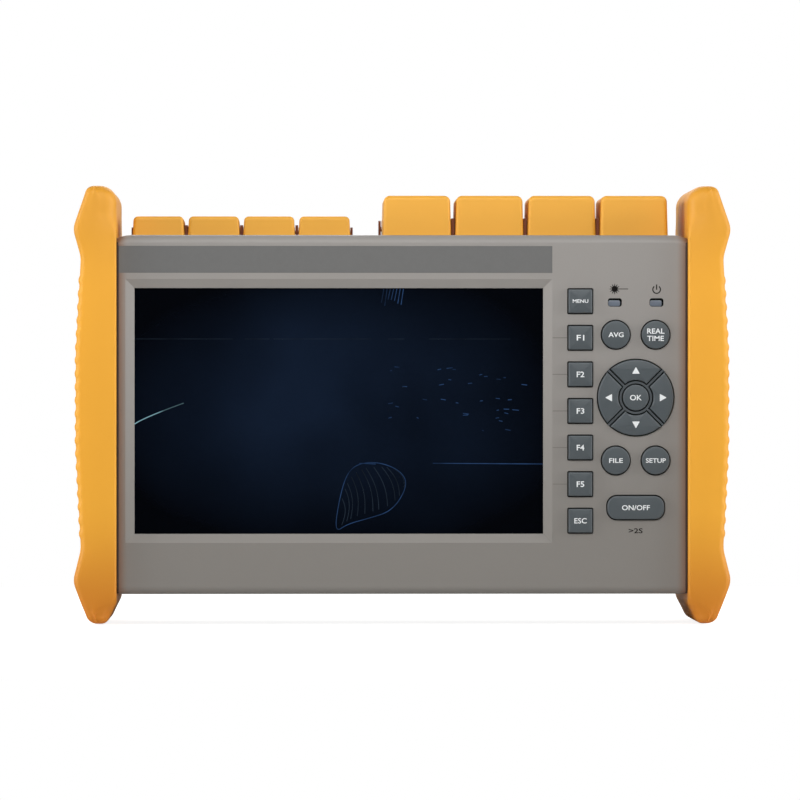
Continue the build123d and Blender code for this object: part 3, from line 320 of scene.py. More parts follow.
def bumper_outline():
    """Inner and outer stretches of the right bumper's front outline, from the foot up."""
    lip_x = case_side_x - lip_overlap
    bulge_x = case_side_x + 9.4
    waist_x = bulge_x - 3.0
    band_x = bulge_x - 1.1
    band_low = case_bottom_z + 56
    band_high = case_top_z - 45
    top_z = bumper_high[2]
    corners = [
        (lip_x, case_bottom_z - 3.2), (lip_x + 3.9, 0), (lip_x + 10.6, 0),
        (bulge_x, case_bottom_z + 5), (waist_x, waist_low), (band_x, band_low),
        (band_x, band_high), (waist_x, waist_high), (bulge_x, case_top_z + 2.2),
        (lip_x + 11.3, top_z), (lip_x, top_z),
    ]
    arcs = rounded(corners, [6, 3, 4, 8, 14, 60, 60, 12, 8, 3, 6.3]).reshape(11, -1, 2)
    return arcs[[1, 0, 10], ::-1].reshape(-1, 2), arcs[2:10].reshape(-1, 2)


def bumper_levels(edge, pitch):
    """Levels z of the bumper's rows, and which of them lie in the pocket for the case.

    They are close together at the rolled ends, a tenth of a rib's pitch apart between them,
    and double at the ends of the pocket, where the inner wall steps.
    """
    top_z = bumper_high[2]
    roll = edge * (1 - np.cos(np.linspace(0, math.pi / 2, 9)))
    pocket_ends = [case_bottom_z - pocket_gap, case_top_z + pocket_gap]
    levels = np.unique(np.round(np.concatenate([
        roll, np.arange(edge, top_z - edge, pitch / 10), top_z - roll, pocket_ends]), 4))
    first, last = np.searchsorted(levels, pocket_ends)
    z = levels[np.sort(np.concatenate([np.arange(len(levels)), [first, last]]))]
    row = np.arange(len(z))
    return z, (row > first) & (row <= last + 1)


def rib_height(z, form):
    """How far the ribs stand out at levels z.

    Each rib is the arc of a circle: sqrt(r^2 - distance^2) - r + its height, down to 0.
    """
    pitch = form.rib_pitch / MM
    radius = form.rib_radius / MM
    count = int((waist_high - waist_low - pitch) / pitch)
    below_middle = 1.4
    first = (waist_low + waist_high - (count - 1) * pitch) / 2 - below_middle
    nearest = np.clip(np.round((z - first) / pitch), 0, count - 1)
    away = z - first - nearest * pitch
    arc = np.sqrt(np.maximum(radius ** 2 - away ** 2, 0)) - radius + form.rib_proud / MM
    return np.maximum(arc, 0)


def bumper_points(form):
    """Right bumper as a grid: rows are levels z, columns go round the section.

    The section runs over the crowned front, round the outer edge, down the ribbed side,
    over the back and in along the pocket that holds the case. Its inner and outer x at each
    level come from the outline of the front view. With t from -1 to 1 along each stretch,
    the front falls back from its middle by its crown times t^2, the side by its crown times
    |t|^1.5, and the top and foot by theirs times (y / half depth)^2.
    """
    edge = form.bumper_edge / MM
    crown = form.bumper_crown / MM
    bulge = form.side_crown / MM
    lip_edge = form.lip_edge / MM
    top_z = bumper_high[2]
    z, pocket = bumper_levels(edge, form.rib_pitch / MM)
    inner, outer = bumper_outline()
    inner_x = np.interp(z, inner[:, 1], inner[:, 0])
    outer_x = np.interp(z, outer[:, 1], outer[:, 0])
    half_y = bumper_high[1] - fall(edge - np.minimum(z, top_z - z), edge)
    horn_share = smooth_step(z, 147, 157) + 1 - smooth_step(z, 4, 13)
    lip_radius = lip_edge + (form.horn_edge / MM - lip_edge) * horn_share
    least_face = 0.8
    room = np.clip((outer_x - bulge - inner_x - least_face) / (lip_radius + edge), 0, 1)
    lip_radius = lip_radius * room
    side_radius = edge * room

    def column(x, y):
        """One column of the grid, with a point at each level."""
        return np.stack([np.broadcast_to(x, z.shape), np.broadcast_to(y, z.shape), z], -1)

    across = np.linspace(0, 1, 11)[:, None]
    face_left = inner_x + lip_radius
    face_right = outer_x - bulge - side_radius
    face_x = face_left + (face_right - face_left) * across
    face_y = half_y - crown * (2 * across - 1) ** 2
    quarter = np.linspace(0, math.pi / 2, 8)[:, None]
    rib = rib_height(z, form)
    outer_arc_x = face_right + (side_radius + rib) * np.sin(quarter)
    outer_arc_y = half_y - crown - side_radius + side_radius * np.cos(quarter)
    inner_arc_x = face_left - lip_radius * np.sin(quarter)
    inner_arc_y = half_y - crown - lip_radius + lip_radius * np.cos(quarter)

    along = np.linspace(-1, 1, 35)[:, None]
    side_y = along * (half_y - crown - side_radius)
    side_x = outer_x - bulge * np.abs(along) ** 1.5 + rib

    case_x = case_side_x - fall(z - (case_top_z - case_top_corner), case_top_corner)
    case_x -= fall(case_bottom_z + case_foot_corner - z, case_foot_corner)
    wall_x = np.where(pocket, np.maximum(case_x + pocket_gap, inner_x), inner_x)
    past_end = case_edge - np.minimum(z - case_bottom_z, case_top_z - z)
    seat_y = rear_high[1] + pocket_gap - fall(past_end, case_edge)
    bend = np.linspace(0, math.pi / 2, 6)[:, None]
    bend_x = np.maximum(wall_x - case_edge * (1 - np.sin(bend)), inner_x)
    bend_x = np.where(pocket, bend_x, inner_x)
    bend_y = seat_y - case_edge * (1 - np.cos(bend))

    outside = list(zip(face_x, face_y)) + list(zip(outer_arc_x[1:], outer_arc_y[1:]))
    side = list(zip(side_x[1:], side_y[1:]))
    inside = list(zip(inner_arc_x[1:], inner_arc_y[1:])) + [(inner_x, seat_y)]
    inside += list(zip(bend_x, bend_y))
    columns = [(x, -y) for x, y in outside] + side + outside[-2::-1]
    columns += inside + [(x, -y) for x, y in inside[::-1]]
    grid = np.stack([column(x, y) for x, y in columns], 1)

    shares = np.linspace(0, 0.9, 10)[:, None, None]
    ends = [centre + (edge_row - centre) * shares for edge_row, centre in (
        (grid[0], grid[0].mean(0)), (grid[-1], grid[-1].mean(0)))]
    grid = np.concatenate([ends[0], grid, ends[1][::-1]])
    reach = (np.abs(grid[..., 1]) / bumper_high[1]) ** 2
    level = grid[..., 2].copy()
    sink = form.end_crown / MM * reach
    grid[..., 2] -= sink * smooth_step(level, case_top_z + 2, top_z)
    grid[..., 2] += sink * (1 - smooth_step(level, 0, case_bottom_z - 1))
    return grid


class MakeBumpers(bpy.types.Operator):
    """Crowned rubber bumpers with ribs along their outer sides"""

    bl_idname = "reflectometer.make_bumpers"
    bl_label = "Make Bumpers"

    def execute(self, context):
        grid = bumper_points(context.scene.reflectometer_forms)
        for node, side in (("right_bumper", 1), ("left_bumper", -1)):
            make_piece(node + "_skin", [grid * [side, 1, 1]], "overmoulded_rubber",
                       body_of(node), [node])
        return {"FINISHED"}


def seam_points(side):
    """Dark bead of painted shadow at the foot of a bumper's lip, from the case's bottom edge
    to its top edge.

    A half ellipse follows a path up the panel: depth = front - height cos, across = half
    width sin, and the path sinks with the case's rounded edges at both ends.
    """
    half_width, height, root = 0.55, 0.4, 0.3
    foot_gap, head_gap, most_over = 0.35, 1.6, 2.9
    z = np.linspace(case_bottom_z + foot_gap, case_top_z - head_gap, 90)
    over = np.maximum(case_bottom_z + case_edge - z, z - (case_top_z - head_gap - case_edge))
    path_y = front_y + fall(np.minimum(over, most_over), case_edge)
    angle = np.linspace(-math.pi / 2, math.pi / 2, 9)
    across = np.concatenate([half_width * np.sin(angle), [root, -root]])
    proud = np.concatenate([height * np.cos(angle), [-root, -root]])
    x = side * (case_side_x - lip_overlap - root) + across
    grid = np.stack(np.broadcast_arrays(x, path_y[:, None] - proud, z[:, None]), -1)
    ends = [np.broadcast_to(row.mean(0), row.shape)[None] for row in (grid[0], grid[-1])]
    return np.concatenate([ends[0], grid, ends[1]])


class MakeSeams(bpy.types.Operator):
    """Painted shadow: dark beads between the bumpers' lips and the front panel"""

    bl_idname = "reflectometer.make_seams"
    bl_label = "Make Seams"

    def execute(self, context):
        for name, side in (("left_lip_shadow", -1), ("right_lip_shadow", 1)):
            make_piece(name, [seam_points(side)], "seam_shadow_rubber", body_of("front_shell"))
        return {"FINISHED"}


def key_outline(node):
    """Front outline of a key, its middle, its face's y and the width of its hidden flange.

    An arrow key lies between two arcs of a quarter ring and stops half a gap short of its
    neighbours. The other keys are circles, or boxes with arcs for corners.
    """
    low, high = box_mm(node)
    if node in key_turns:
        arcs = []
        for radius, count in ((ring_outer, 33), (ring_inner, 25)):
            trim = math.asin(ring_half_gap / radius)
            arcs.append(radius * unit(np.linspace(
                math.pi / 4 + trim, 3 * math.pi / 4 - trim, count)))
        turn = key_turns[node]
        flat = np.concatenate([arcs[0], arcs[1][::-1]])
        return spun(flat, turn), spun([0, arrow_key_middle], turn), low[1], 0.0
    centre = middle_mm(node)
    size = (high - low)[[0, 2]] / 2 - flange_width
    if node in round_keys:
        flat = size[0] * unit(np.linspace(0, 2 * math.pi, 64, endpoint=False))
    else:
        corner = 3.8 if node == "power_key" else 0.35
        arcs = rounded(square * size, corner).reshape(4, 9, 2)
        after = np.roll(arcs[:, 0], -1, 0)
        share = np.linspace(0, 1, 9)[None, 1:-1, None]
        sides = arcs[:, -1:] + (after - arcs[:, -1])[:, None] * share
        flat = np.concatenate([arcs, sides], 1).reshape(-1, 2)
    return flat + centre, centre, low[1], flange_width


class MakeHingeWebs(bpy.types.Operator):
    """Brown webs that fill the gaps between neighbouring covers, down to the case's top.

    Each web is a plate on a rectangle that keeps a clearance from the covers beside it. It
    runs from behind the covers' fronts to the hinge rail. Its brown is painted shade.
    """

    bl_idname = "reflectometer.make_hinge_webs"
    bl_label = "Make Hinge Webs"

    def execute(self, context):
        clearance = context.scene.reflectometer_forms.web_clearance / MM
        for row in ("port", "optical"):
            rail_low, rail_high = box_mm(f"{row}_hinge_rail")
            foot_z, back_y = case_top_z - 0.2, rail_low[1] + 0.5
            webs = []
            for number in range(1, 4):
                left_low, left_high = box_mm(f"{row}_cover_{number}")
                left_x = left_high[0] + clearance
                right_x = box_mm(f"{row}_cover_{number + 1}")[0][0] - clearance
                outline = rounded([
                    (left_x, foot_z), (right_x, foot_z), (right_x, rail_high[2]),
                    (left_x, rail_high[2])], 0.1, 3)
                webs.append(plate(outline, back_y, back_y - left_low[1] - 2.5))
            make_piece(f"{row}_hinge_webs", webs, "moulded_rail_nylon", body_of("front_shell"))
        return {"FINISHED"}


def cap_points(node, form):
    """Key cap as a grid of rings, from the middle of its back to the middle of its face.

    The skirt runs straight from the hidden flange to the front edge, a quarter circle with
    inset r (1 - cos a) and depth r (1 - sin a). Inside it the face falls back from its
    middle by the crown times t^2, where t is 1 at the rim.
    """
    outline, hub, face_y, flange = key_outline(node)
    ahead = np.roll(outline, -1, 0) - np.roll(outline, 1, 0)
    normal = np.stack([ahead[:, 1], -ahead[:, 0]], -1)
    normal /= np.linalg.norm(normal, axis=1, keepdims=True)
    back_y = box_mm(node)[1][1]
    flange_y = back_y - flange_depth
    edge = form.key_edge / MM
    crown = form.key_crown / MM
    gap = form.key_clearance / MM
    turn = np.linspace(0, math.pi / 2, 7)
    insets = np.concatenate([[-flange, -flange, gap], gap + edge * (1 - np.cos(turn))])
    depths = np.concatenate([
        [back_y, flange_y, flange_y], face_y + crown + edge * (1 - np.sin(turn))])
    rings = [to_ring(np.broadcast_to(hub, outline.shape), back_y)]
    rings += [to_ring(outline - normal * inset, depth) for inset, depth in zip(insets, depths)]
    rim = outline - normal * (gap + edge)
    rings += [to_ring(hub + (rim - hub) * share, face_y + crown * share ** 2)
              for share in (0.9, 0.75, 0.55, 0.35, 0.15, 0.0)]
    return np.stack(rings)


class MakeKeys(bpy.types.Operator):
    """Key caps with crowned faces and rounded edges"""

    bl_idname = "reflectometer.make_keys"
    bl_label = "Make Keys"

    def execute(self, context):
        form = context.scene.reflectometer_forms
        for node in key_names:
            make_piece(node + "_cap", [cap_points(node, form)], "moulded_key", body_of(node),
                       [node], sharp=50)
        return {"FINISHED"}


def text_mesh(name, words, width, height, centre_x, centre_z, face_y, thickness):
    """Mesh of words turned to face the front, fitted to a width and height in millimetres."""
    curve = bpy.data.curves.new(name, "FONT")
    curve.body = words
    curve.align_x = "CENTER"
    curve.offset = 0.016  # Thickens the strokes
    curve.extrude = 0.01
    curve.resolution_u = 3
    holder = bpy.data.objects.new(name, curve)
    bpy.context.scene.collection.objects.link(holder)
    graph = bpy.context.evaluated_depsgraph_get()
    mesh = bpy.data.meshes.new_from_object(holder.evaluated_get(graph))
    bpy.data.objects.remove(holder)
    flat = np.empty(len(mesh.vertices) * 3)
    mesh.vertices.foreach_get("co", flat)
    flat = flat.reshape(-1, 3)
    low, high = flat.min(0), flat.max(0)
    scale = np.array([width, height, thickness]) / (high - low)
    shaped = (flat - (low + high) / 2) * scale
    placed = np.stack([
        shaped[:, 0] + centre_x, -shaped[:, 2] + face_y - thickness / 2, shaped[:, 1] + centre_z,
    ], -1)
    mesh.vertices.foreach_set("co", (placed * MM).ravel())
    mesh.update()
    return mesh


def plate(outline, face_y, thickness):
    """Thin plate as a grid of four rings: middle, back rim, front rim, middle."""
    middle = np.broadcast_to(outline.mean(0), outline.shape)
    rings = [(middle, face_y), (outline, face_y), (outline, face_y - thickness),
             (middle, face_y - thickness)]
    return np.stack([to_ring(flat, y) for flat, y in rings])


LEGENDS = {
    "menu_key": ("MENU", 5.9, 1.35), "f1_key": ("F1", 2.9, 2.15), "f2_key": ("F2", 2.9, 2.15),
    "f3_key": ("F3", 2.9, 2.15), "f4_key": ("F4", 2.9, 2.15), "f5_key": ("F5", 2.9, 2.15),
    "esc_key": ("ESC", 4.7, 2.05), "avg_key": ("AVG", 5.8, 1.9),
    "real_time_key": ("REAL\nTIME", 6.6, 4.75), "file_key": ("FILE", 5.2, 1.75),
    "setup_key": ("SETUP", 7.6, 1.75), "ok_key": ("OK", 4.5, 2.1),
    "power_key": ("ON/OFF", 10.6, 1.95),
}


class MakeLegends(bpy.types.Operator):
    """White key legends and arrows, printed on the key caps"""

    bl_idname = "reflectometer.make_legends"
    bl_label = "Make Legends"

    def execute(self, context):
        form = context.scene.reflectometer_forms
        thick = form.print_thickness / MM
        for node, (words, width, height) in LEGENDS.items():
            hub, face_y = key_outline(node)[1:3]
            mesh = text_mesh(node + "_legend", words, width, height, hub[0], hub[1],
                             face_y + ink_sink, thick + ink_sink)
            show(node + "_legend", mesh, "white_ink", body_of(node))
        arrow = rounded([(0, 1.35), (-1.45, -1.25), (1.45, -1.25)], 0.12, 3)
        for node, turn in key_turns.items():
            flat = spun(arrow + [0, arrow_middle], turn)
            grid = plate(flat, box_mm(node)[0][1] + ink_sink, thick + ink_sink)
            make_piece(node + "_arrow", [grid], "white_ink", body_of(node))
        return {"FINISHED"}


def ribbon(path, width, face_y, thickness):
    """Flat strip along a path of front view points, closed all round.

    Its two long edges lie half a width to either side of the path's normal.
    """
    path = np.asarray(path, float)
    ahead = np.gradient(path, axis=0)
    ahead /= np.linalg.norm(ahead, axis=1, keepdims=True)
    normal = np.stack([-ahead[:, 1], ahead[:, 0]], -1) * width / 2
    left, right = path + normal, path - normal
    rows = np.stack([
        to_ring(left, face_y), to_ring(right, face_y),
        to_ring(right, face_y - thickness), to_ring(left, face_y - thickness),
    ], 1)
    ends = [np.broadcast_to(row.mean(0), row.shape) for row in (rows[0], rows[-1])]
    return np.concatenate([ends[0][None], rows, ends[1][None]])


class MakePanelPrint(bpy.types.Operator):
    """Signs above the lamps, the hold time below the power key and the guide lines"""

    bl_idname = "reflectometer.make_panel_print"
    bl_label = "Make Panel Print"

    def execute(self, context):
        form = context.scene.reflectometer_forms
        thick = form.print_thickness / MM
        body = body_of("front_shell")
        lens_low, lens_high = box_mm("indicator_lenses")
        sign_z = middle_mm("indicator_lenses")[1] + 5.1
        sign_reach = flange_width + 2.6
        left_x = lens_low[0] + sign_reach
        right_x = lens_high[0] - sign_reach

        # A burst with twelve spikes, whose radius is 1.1 + 0.95 |cos 6a|^5, and its beam.
        angle = np.linspace(0, 2 * math.pi, 192, endpoint=False)
        spikes = 1.1 + 0.95 * np.abs(np.cos(angle * 6)) ** 5
        burst = unit(angle) * spikes[:, None] + [left_x, sign_z]
        make_piece("laser_sign", [plate(burst, front_y, thick)], "black_ink", body)
        beam = np.linspace((left_x + 1.6, sign_z), (left_x + 5.1, sign_z), 5)
        make_piece("laser_beam_sign", [ribbon(beam, 0.26, front_y, thick)], "black_ink", body)

        # An open ring of 284 degrees with a bar in its gap.
        sweep = np.radians(np.linspace(128, 412, 48))
        hoop = unit(sweep) * 1.45 + [right_x, sign_z - 0.2]
        bar = np.linspace((right_x, sign_z - 0.3), (right_x, sign_z + 1.7), 5)
        make_piece("power_sign", [
            ribbon(path, 0.42, front_y, thick) for path in (hoop, bar)], "black_ink", body)

        mesh = text_mesh("hold_sign", ">2S", 5.3, 1.9, middle_mm("power_key")[0],
                         box_mm("power_key")[0][2] - 3.55, front_y, thick)
        show("hold_sign", mesh, "black_ink", body)

        bezel_x = window_high[0] - window_border + bezel_width
        lines = []
        for number in range(1, 6):
            key = f"f{number}_key"
            z = middle_mm(key)[1]
            run = np.linspace((bezel_x + 0.1, z), (box_mm(key)[0][0] + 0.3, z), 5)
            lines.append(ribbon(run, form.line_width / MM, front_y, thick))
        make_piece("guide_lines", lines, "grey_ink", body)
        return {"FINISHED"}


class MakeLampWells(bpy.types.Operator):
    """Black sloping wells of painted shade round the two lamp lenses, and the domed lenses in
    them
    """

    bl_idname = "reflectometer.make_lamp_wells"
    bl_label = "Make Lamp Wells"

    def execute(self, context):
        low, high = box_mm("indicator_lenses")
        body = body_of("indicator_lenses")
        half = lamp_size / 2
        slope = np.array([0.42, 0.46])
        # The seat sits low and to the left, so that the black wall shows widest at the top and
        # right as painted shade.
        shift = np.array([-0.26, -0.34])
        middle_z = middle_mm("indicator_lenses")[1]
        reach = flange_width + half[0]
        for name, x in (("left", low[0] + reach), ("right", high[0] - reach)):
            mouth = rounded(square * half, 1.0) + [x, middle_z]
            seat = rounded(square * (half - slope), 0.7) + [x, middle_z] + shift
            wall = zip((mouth, seat, seat, mouth, mouth), (0.06, 0.44, 0.48, 0.48, 0.06))
            rings = [to_ring(flat, front_y + depth) for flat, depth in wall]
            make_piece(f"{name}_lamp_well", [np.stack(rings)], "lamp_well_black", body)

            hub = seat.mean(0)
            foot = rounded(square * (half + flange_width), 1.0) + [x, middle_z]
            back_y, flange_y = high[1], high[1] - flange_depth
            rings = [to_ring(foot * 0 + hub, back_y), to_ring(foot, back_y),
                     to_ring(foot, flange_y), to_ring(seat, flange_y)]
            # Shares of the seat's outline, with their depths behind the panel's face.
            dome = ((1, 0.4), (0.9, 0.33), (0.7, 0.3), (0.4, 0.28), (0, 0.27))
            rings += [to_ring(hub + (seat - hub) * share, front_y + depth)
                      for share, depth in dome]
            make_piece(f"{name}_lamp_lens", [np.stack(rings)], "acrylic_lens", body,
                       ["indicator_lenses"])
        return {"FINISHED"}


def smoothed(path, rounds=3):
    """Closed path whose corners are cut off at a quarter of each side, a few times over."""
    path = np.asarray(path, float)
    for step in range(rounds):
        ahead = np.roll(path, -1, 0)
        path = np.stack([0.75 * path + 0.25 * ahead, 0.25 * path + 0.75 * ahead], 1)
        path = path.reshape(-1, 2)
    return path


class MakeScreenTraces(bpy.types.Operator):
    """Faint lines of a measuring screen: a level line, a rising trace and a hatched loop"""

    bl_idname = "reflectometer.make_screen_traces"
    bl_label = "Make Screen Traces"

    def execute(self, context):
        face_y = window_low[1]
        left, low = window_low[[0, 2]] + window_border
        width, height = window_high[[0, 2]] - window_border - [left, low]

        def place(path):
            """Path in shares of the picture's width and height, in millimetres."""
            return np.asarray(path, float) * [width, height] + [left, low]

        def draw(name, paths, line_width, material):
            """Lines of one width on the front of the glass, as one piece."""
            make_piece(name, [ribbon(path, line_width, face_y, 0.02) for path in paths],
                       material, body_of("display_window"))

        level = 0.793
        spans = ((0, 0.24), (0.27, 0.33), (0.34, 0.58), (0.62, 0.66), (0.72, 0.92))
        draw("screen_level_lines", [
            place(np.linspace((a, level), (b, level), 4)) for a, b in spans], 0.2, "dim_trace")
        low_spans = ((0.55, 0.59), (0.73, 1.0))
        loop = smoothed([
            (0.489, 0.004), (0.500, 0.136), (0.519, 0.246), (0.548, 0.287), (0.600, 0.292),
            (0.652, 0.256), (0.669, 0.197), (0.632, 0.094), (0.571, 0.062), (0.521, 0.040),
        ])
        half = len(loop) // 2
        tip = loop[::-1]
        strokes = []
        for share in np.linspace(0.16, 0.84, 11):
            a = loop[int(share * half)]
            b = tip[int(share * half)]
            bend = np.linspace(0.1, 0.9, 8)[:, None]
            sway = np.sin(bend * math.pi) * [0.012, 0.006]
            strokes.append(place(a + (b - a) * bend + sway))
        draw("screen_hatch", strokes, 0.28, "dim_trace")
        lines = [np.linspace((a, 0.287), (b, 0.284), 6) for a, b in low_spans]
        draw("screen_loop", [place(path) for path in [np.concatenate([loop, loop[:1]])] + lines],
             0.3, "deep_trace")
        # The trace rises along t^0.85.
        share = np.linspace(0, 1, 12)
        rising = np.stack([share * 0.12, 0.447 + 0.085 * share ** 0.85], -1)
        draw("screen_rising_line", [place(rising)], 0.34, "bright_trace")
        ticks = np.random.default_rng(5)
        marks = []
        for mark in range(34):
            start = np.array([ticks.uniform(0.62, 0.95), ticks.uniform(0.42, 0.68)])
            marks.append(place(start + np.linspace(0, 1, 4)[:, None]
                               * [ticks.uniform(0.004, 0.016), ticks.uniform(-0.004, 0.004)]))
        for mark in range(7):
            start = np.array([0.61 + 0.008 * mark, 0.998])
            marks.append(place(start - np.linspace(0, 1, 5)[:, None]
                               * [0.006, ticks.uniform(0.03, 0.075)]))
        draw("screen_specks", marks, 0.3, "deep_trace")
        return {"FINISHED"}


# Materials


def add_node(tree, kind, inputs=None, **settings):
    """Adds a shader node, sets its properties, and sets or links its input sockets."""
    node = tree.nodes.new("ShaderNode" + kind)
    for key, value in settings.items():
        setattr(node, key, value)
    for key, value in (inputs or {}).items():
        if isinstance(value, bpy.types.NodeSocket):
            tree.links.new(value, node.inputs[key])
        else:
            node.inputs[key].default_value = value
    return node


def new_material(name):
    """Node tree of a new material, and the Object coordinates in it."""
    material = bpy.data.materials.new(name)
    material.use_nodes = True
    material.node_tree.nodes.clear()
    place = add_node(material.node_tree, "TexCoord").outputs["Object"]
    return material.node_tree, place


def finish(tree, shader):
    """Links a shader to the material's output."""
    add_node(tree, "OutputMaterial", {"Surface": shader.outputs[0]})


def shade(colour_value, factor):
    """A linear colour made darker or lighter by a factor."""
    return [min(1.0, part * factor) for part in colour_value[:3]] + [1.0]


def moulded(name, tint, grain_mm, grain_height_mm, roughness, spread=0.05, cloud_mm=40,
            fades=(), **shader_values):
    """Moulded plastic or rubber.

    A fine noise one grain wide gives the bump and the spread of the roughness, and a broad
    noise gives a slight change of colour over the piece. Each fade turns the colour into
    another along an axis, between two distances from the origin's plane in millimetres.
    """
    tree, place = new_material(name)
    cloud = add_node(tree, "TexNoise", {
        "Vector": place, "Scale": 1000 / cloud_mm, "Detail": 3.0, "Roughness": 0.55})
    base = add_node(tree, "Mix", {
        0: cloud.outputs["Fac"], 6: shade(tint, 1 - spread), 7: shade(tint, 1 + spread),
    }, data_type="RGBA").outputs[2]
    for axis, start, stop, other in fades:
        level = add_node(tree, "SeparateXYZ", {"Vector": place}).outputs[axis]
        away = add_node(tree, "Math", {0: level}, operation="ABSOLUTE").outputs[0]
        share = add_node(tree, "MapRange", {
            "Value": away, "From Min": start * MM, "From Max": stop * MM,
        }, interpolation_type="SMOOTHSTEP").outputs["Result"]
        base = add_node(tree, "Mix", {
            0: share, 6: base, 7: other}, data_type="RGBA").outputs[2]
    grain = add_node(tree, "TexNoise", {
        "Vector": place, "Scale": 1000 / grain_mm, "Detail": 2.0, "Roughness": 0.6})
    rough = add_node(tree, "MapRange", {
        "Value": grain.outputs["Fac"], "From Min": 0.3, "From Max": 0.7,
        "To Min": roughness - 0.05, "To Max": roughness + 0.05}).outputs["Result"]
    bump = add_node(tree, "Bump", {
        "Height": grain.outputs["Fac"], "Strength": 1.0, "Distance": grain_height_mm * MM})
    shader = add_node(tree, "BsdfPrincipled", {
        "Base Color": base, "Roughness": rough, "Normal": bump.outputs["Normal"],
        **shader_values})
    finish(tree, shader)


def metal(name, tint, roughness, line_mm, stretch=(1, 1, 12)):
    """Metal whose tool marks are a noise stretched along one axis."""
    tree, place = new_material(name)
    turned = add_node(tree, "Mapping", {
        "Vector": place, "Scale": [1 / s for s in stretch]}).outputs["Vector"]
    marks = add_node(tree, "TexNoise", {
        "Vector": turned, "Scale": 1000 / line_mm, "Detail": 3.0})
    rough = add_node(tree, "MapRange", {
        "Value": marks.outputs["Fac"], "To Min": roughness - 0.08, "To Max": roughness + 0.1,
    }).outputs["Result"]
    bump = add_node(tree, "Bump", {
        "Height": marks.outputs["Fac"], "Strength": 0.6, "Distance": 0.01 * MM})
    base = add_node(tree, "Mix", {
        0: marks.outputs["Fac"], 6: shade(tint, 0.94), 7: shade(tint, 1.04),
    }, data_type="RGBA").outputs[2]
    shader = add_node(tree, "BsdfPrincipled", {
        "Base Color": base, "Roughness": rough, "Metallic": 1.0,
        "Normal": bump.outputs["Normal"]})
    finish(tree, shader)


def ink(name, tint, sheen=0.5):
    """Screen printed ink, faintly uneven in tone."""
    tree, place = new_material(name)
    mottle = add_node(tree, "TexNoise", {"Vector": place, "Scale": 1000 / 0.6})
    base = add_node(tree, "Mix", {
        0: mottle.outputs["Fac"], 6: shade(tint, 0.93), 7: shade(tint, 1.05),
    }, data_type="RGBA").outputs[2]
    shader = add_node(tree, "BsdfPrincipled", {
        "Base Color": base, "Roughness": 0.55, "Specular IOR Level": sheen})
    finish(tree, shader)


def trace(name, tint):
    """Faint lit line behind the cover glass, uneven along its length."""
    tree, place = new_material(name)
    mottle = add_node(tree, "TexNoise", {"Vector": place, "Scale": 1000 / 9})
    glow = add_node(tree, "MapRange", {
        "Value": mottle.outputs["Fac"], "From Min": 0.35, "From Max": 0.65,
        "To Min": 0.25, "To Max": 1.1}).outputs["Result"]
    shader = add_node(tree, "BsdfPrincipled", {
        "Base Color": (0, 0, 0, 1), "Roughness": 0.3, "Specular IOR Level": 0.1,
        "Emission Color": tint, "Emission Strength": glow})
    finish(tree, shader)


def dark_glass(name, tint, glow):
    """Coated clear window over an unlit panel: near black with broad dark blue patches.

    A glow that falls off as an ellipse from the middle is multiplied by a broad noise.
    """
    tree, place = new_material(name)
    middle = middle_mm("display_window") * MM
    reach = 0.62
    span = (window_high - window_low)[[0, 2]] * MM * reach
    spread = add_node(tree, "Mapping", {
        "Vector": place, "Location": [-middle[0] / span[0], 0, -middle[1] / span[1]],
        "Scale": [1 / span[0], 0, 1 / span[1]]}).outputs["Vector"]
    centre = add_node(tree, "TexGradient", {"Vector": spread},
                      gradient_type="SPHERICAL").outputs["Fac"]
    patches = add_node(tree, "TexNoise", {
        "Vector": place, "Scale": 1000 / 60, "Detail": 2.0, "Roughness": 0.4}).outputs["Fac"]
    share = add_node(tree, "Math", {0: centre, 1: patches}, operation="MULTIPLY")
    share = add_node(tree, "MapRange", {
        "Value": share.outputs[0], "From Min": 0.05, "From Max": 0.4}).outputs["Result"]
    base = add_node(tree, "Mix", {
        0: share, 6: tint, 7: glow}, data_type="RGBA").outputs[2]
    shader = add_node(tree, "BsdfPrincipled", {
        "Base Color": base, "Roughness": 0.06, "Specular IOR Level": 0.12})
    finish(tree, shader)


def even_surround(ambient):
    """World that is white to the camera and in reflections, and lights the object softly."""
    world = bpy.data.worlds.new("even_surround")
    world.use_nodes = True
    tree = world.node_tree
    tree.nodes.clear()
    path = add_node(tree, "LightPath")
    seen = add_node(tree, "Math", {
        0: path.outputs["Is Camera Ray"], 1: path.outputs["Is Glossy Ray"]},
        operation="MAXIMUM").outputs[0]
    seen = add_node(tree, "Math", {
        0: seen, 1: path.outputs["Is Transmission Ray"]}, operation="MAXIMUM").outputs[0]
    strength = add_node(tree, "MapRange", {
        "Value": seen, "To Min": ambient, "To Max": 1.0}).outputs["Result"]
    sky = add_node(tree, "Background", {
        "Color": (1, 1, 1, 1), "Strength": strength})
    add_node(tree, "OutputWorld", {"Surface": sky.outputs[0]})
    return world


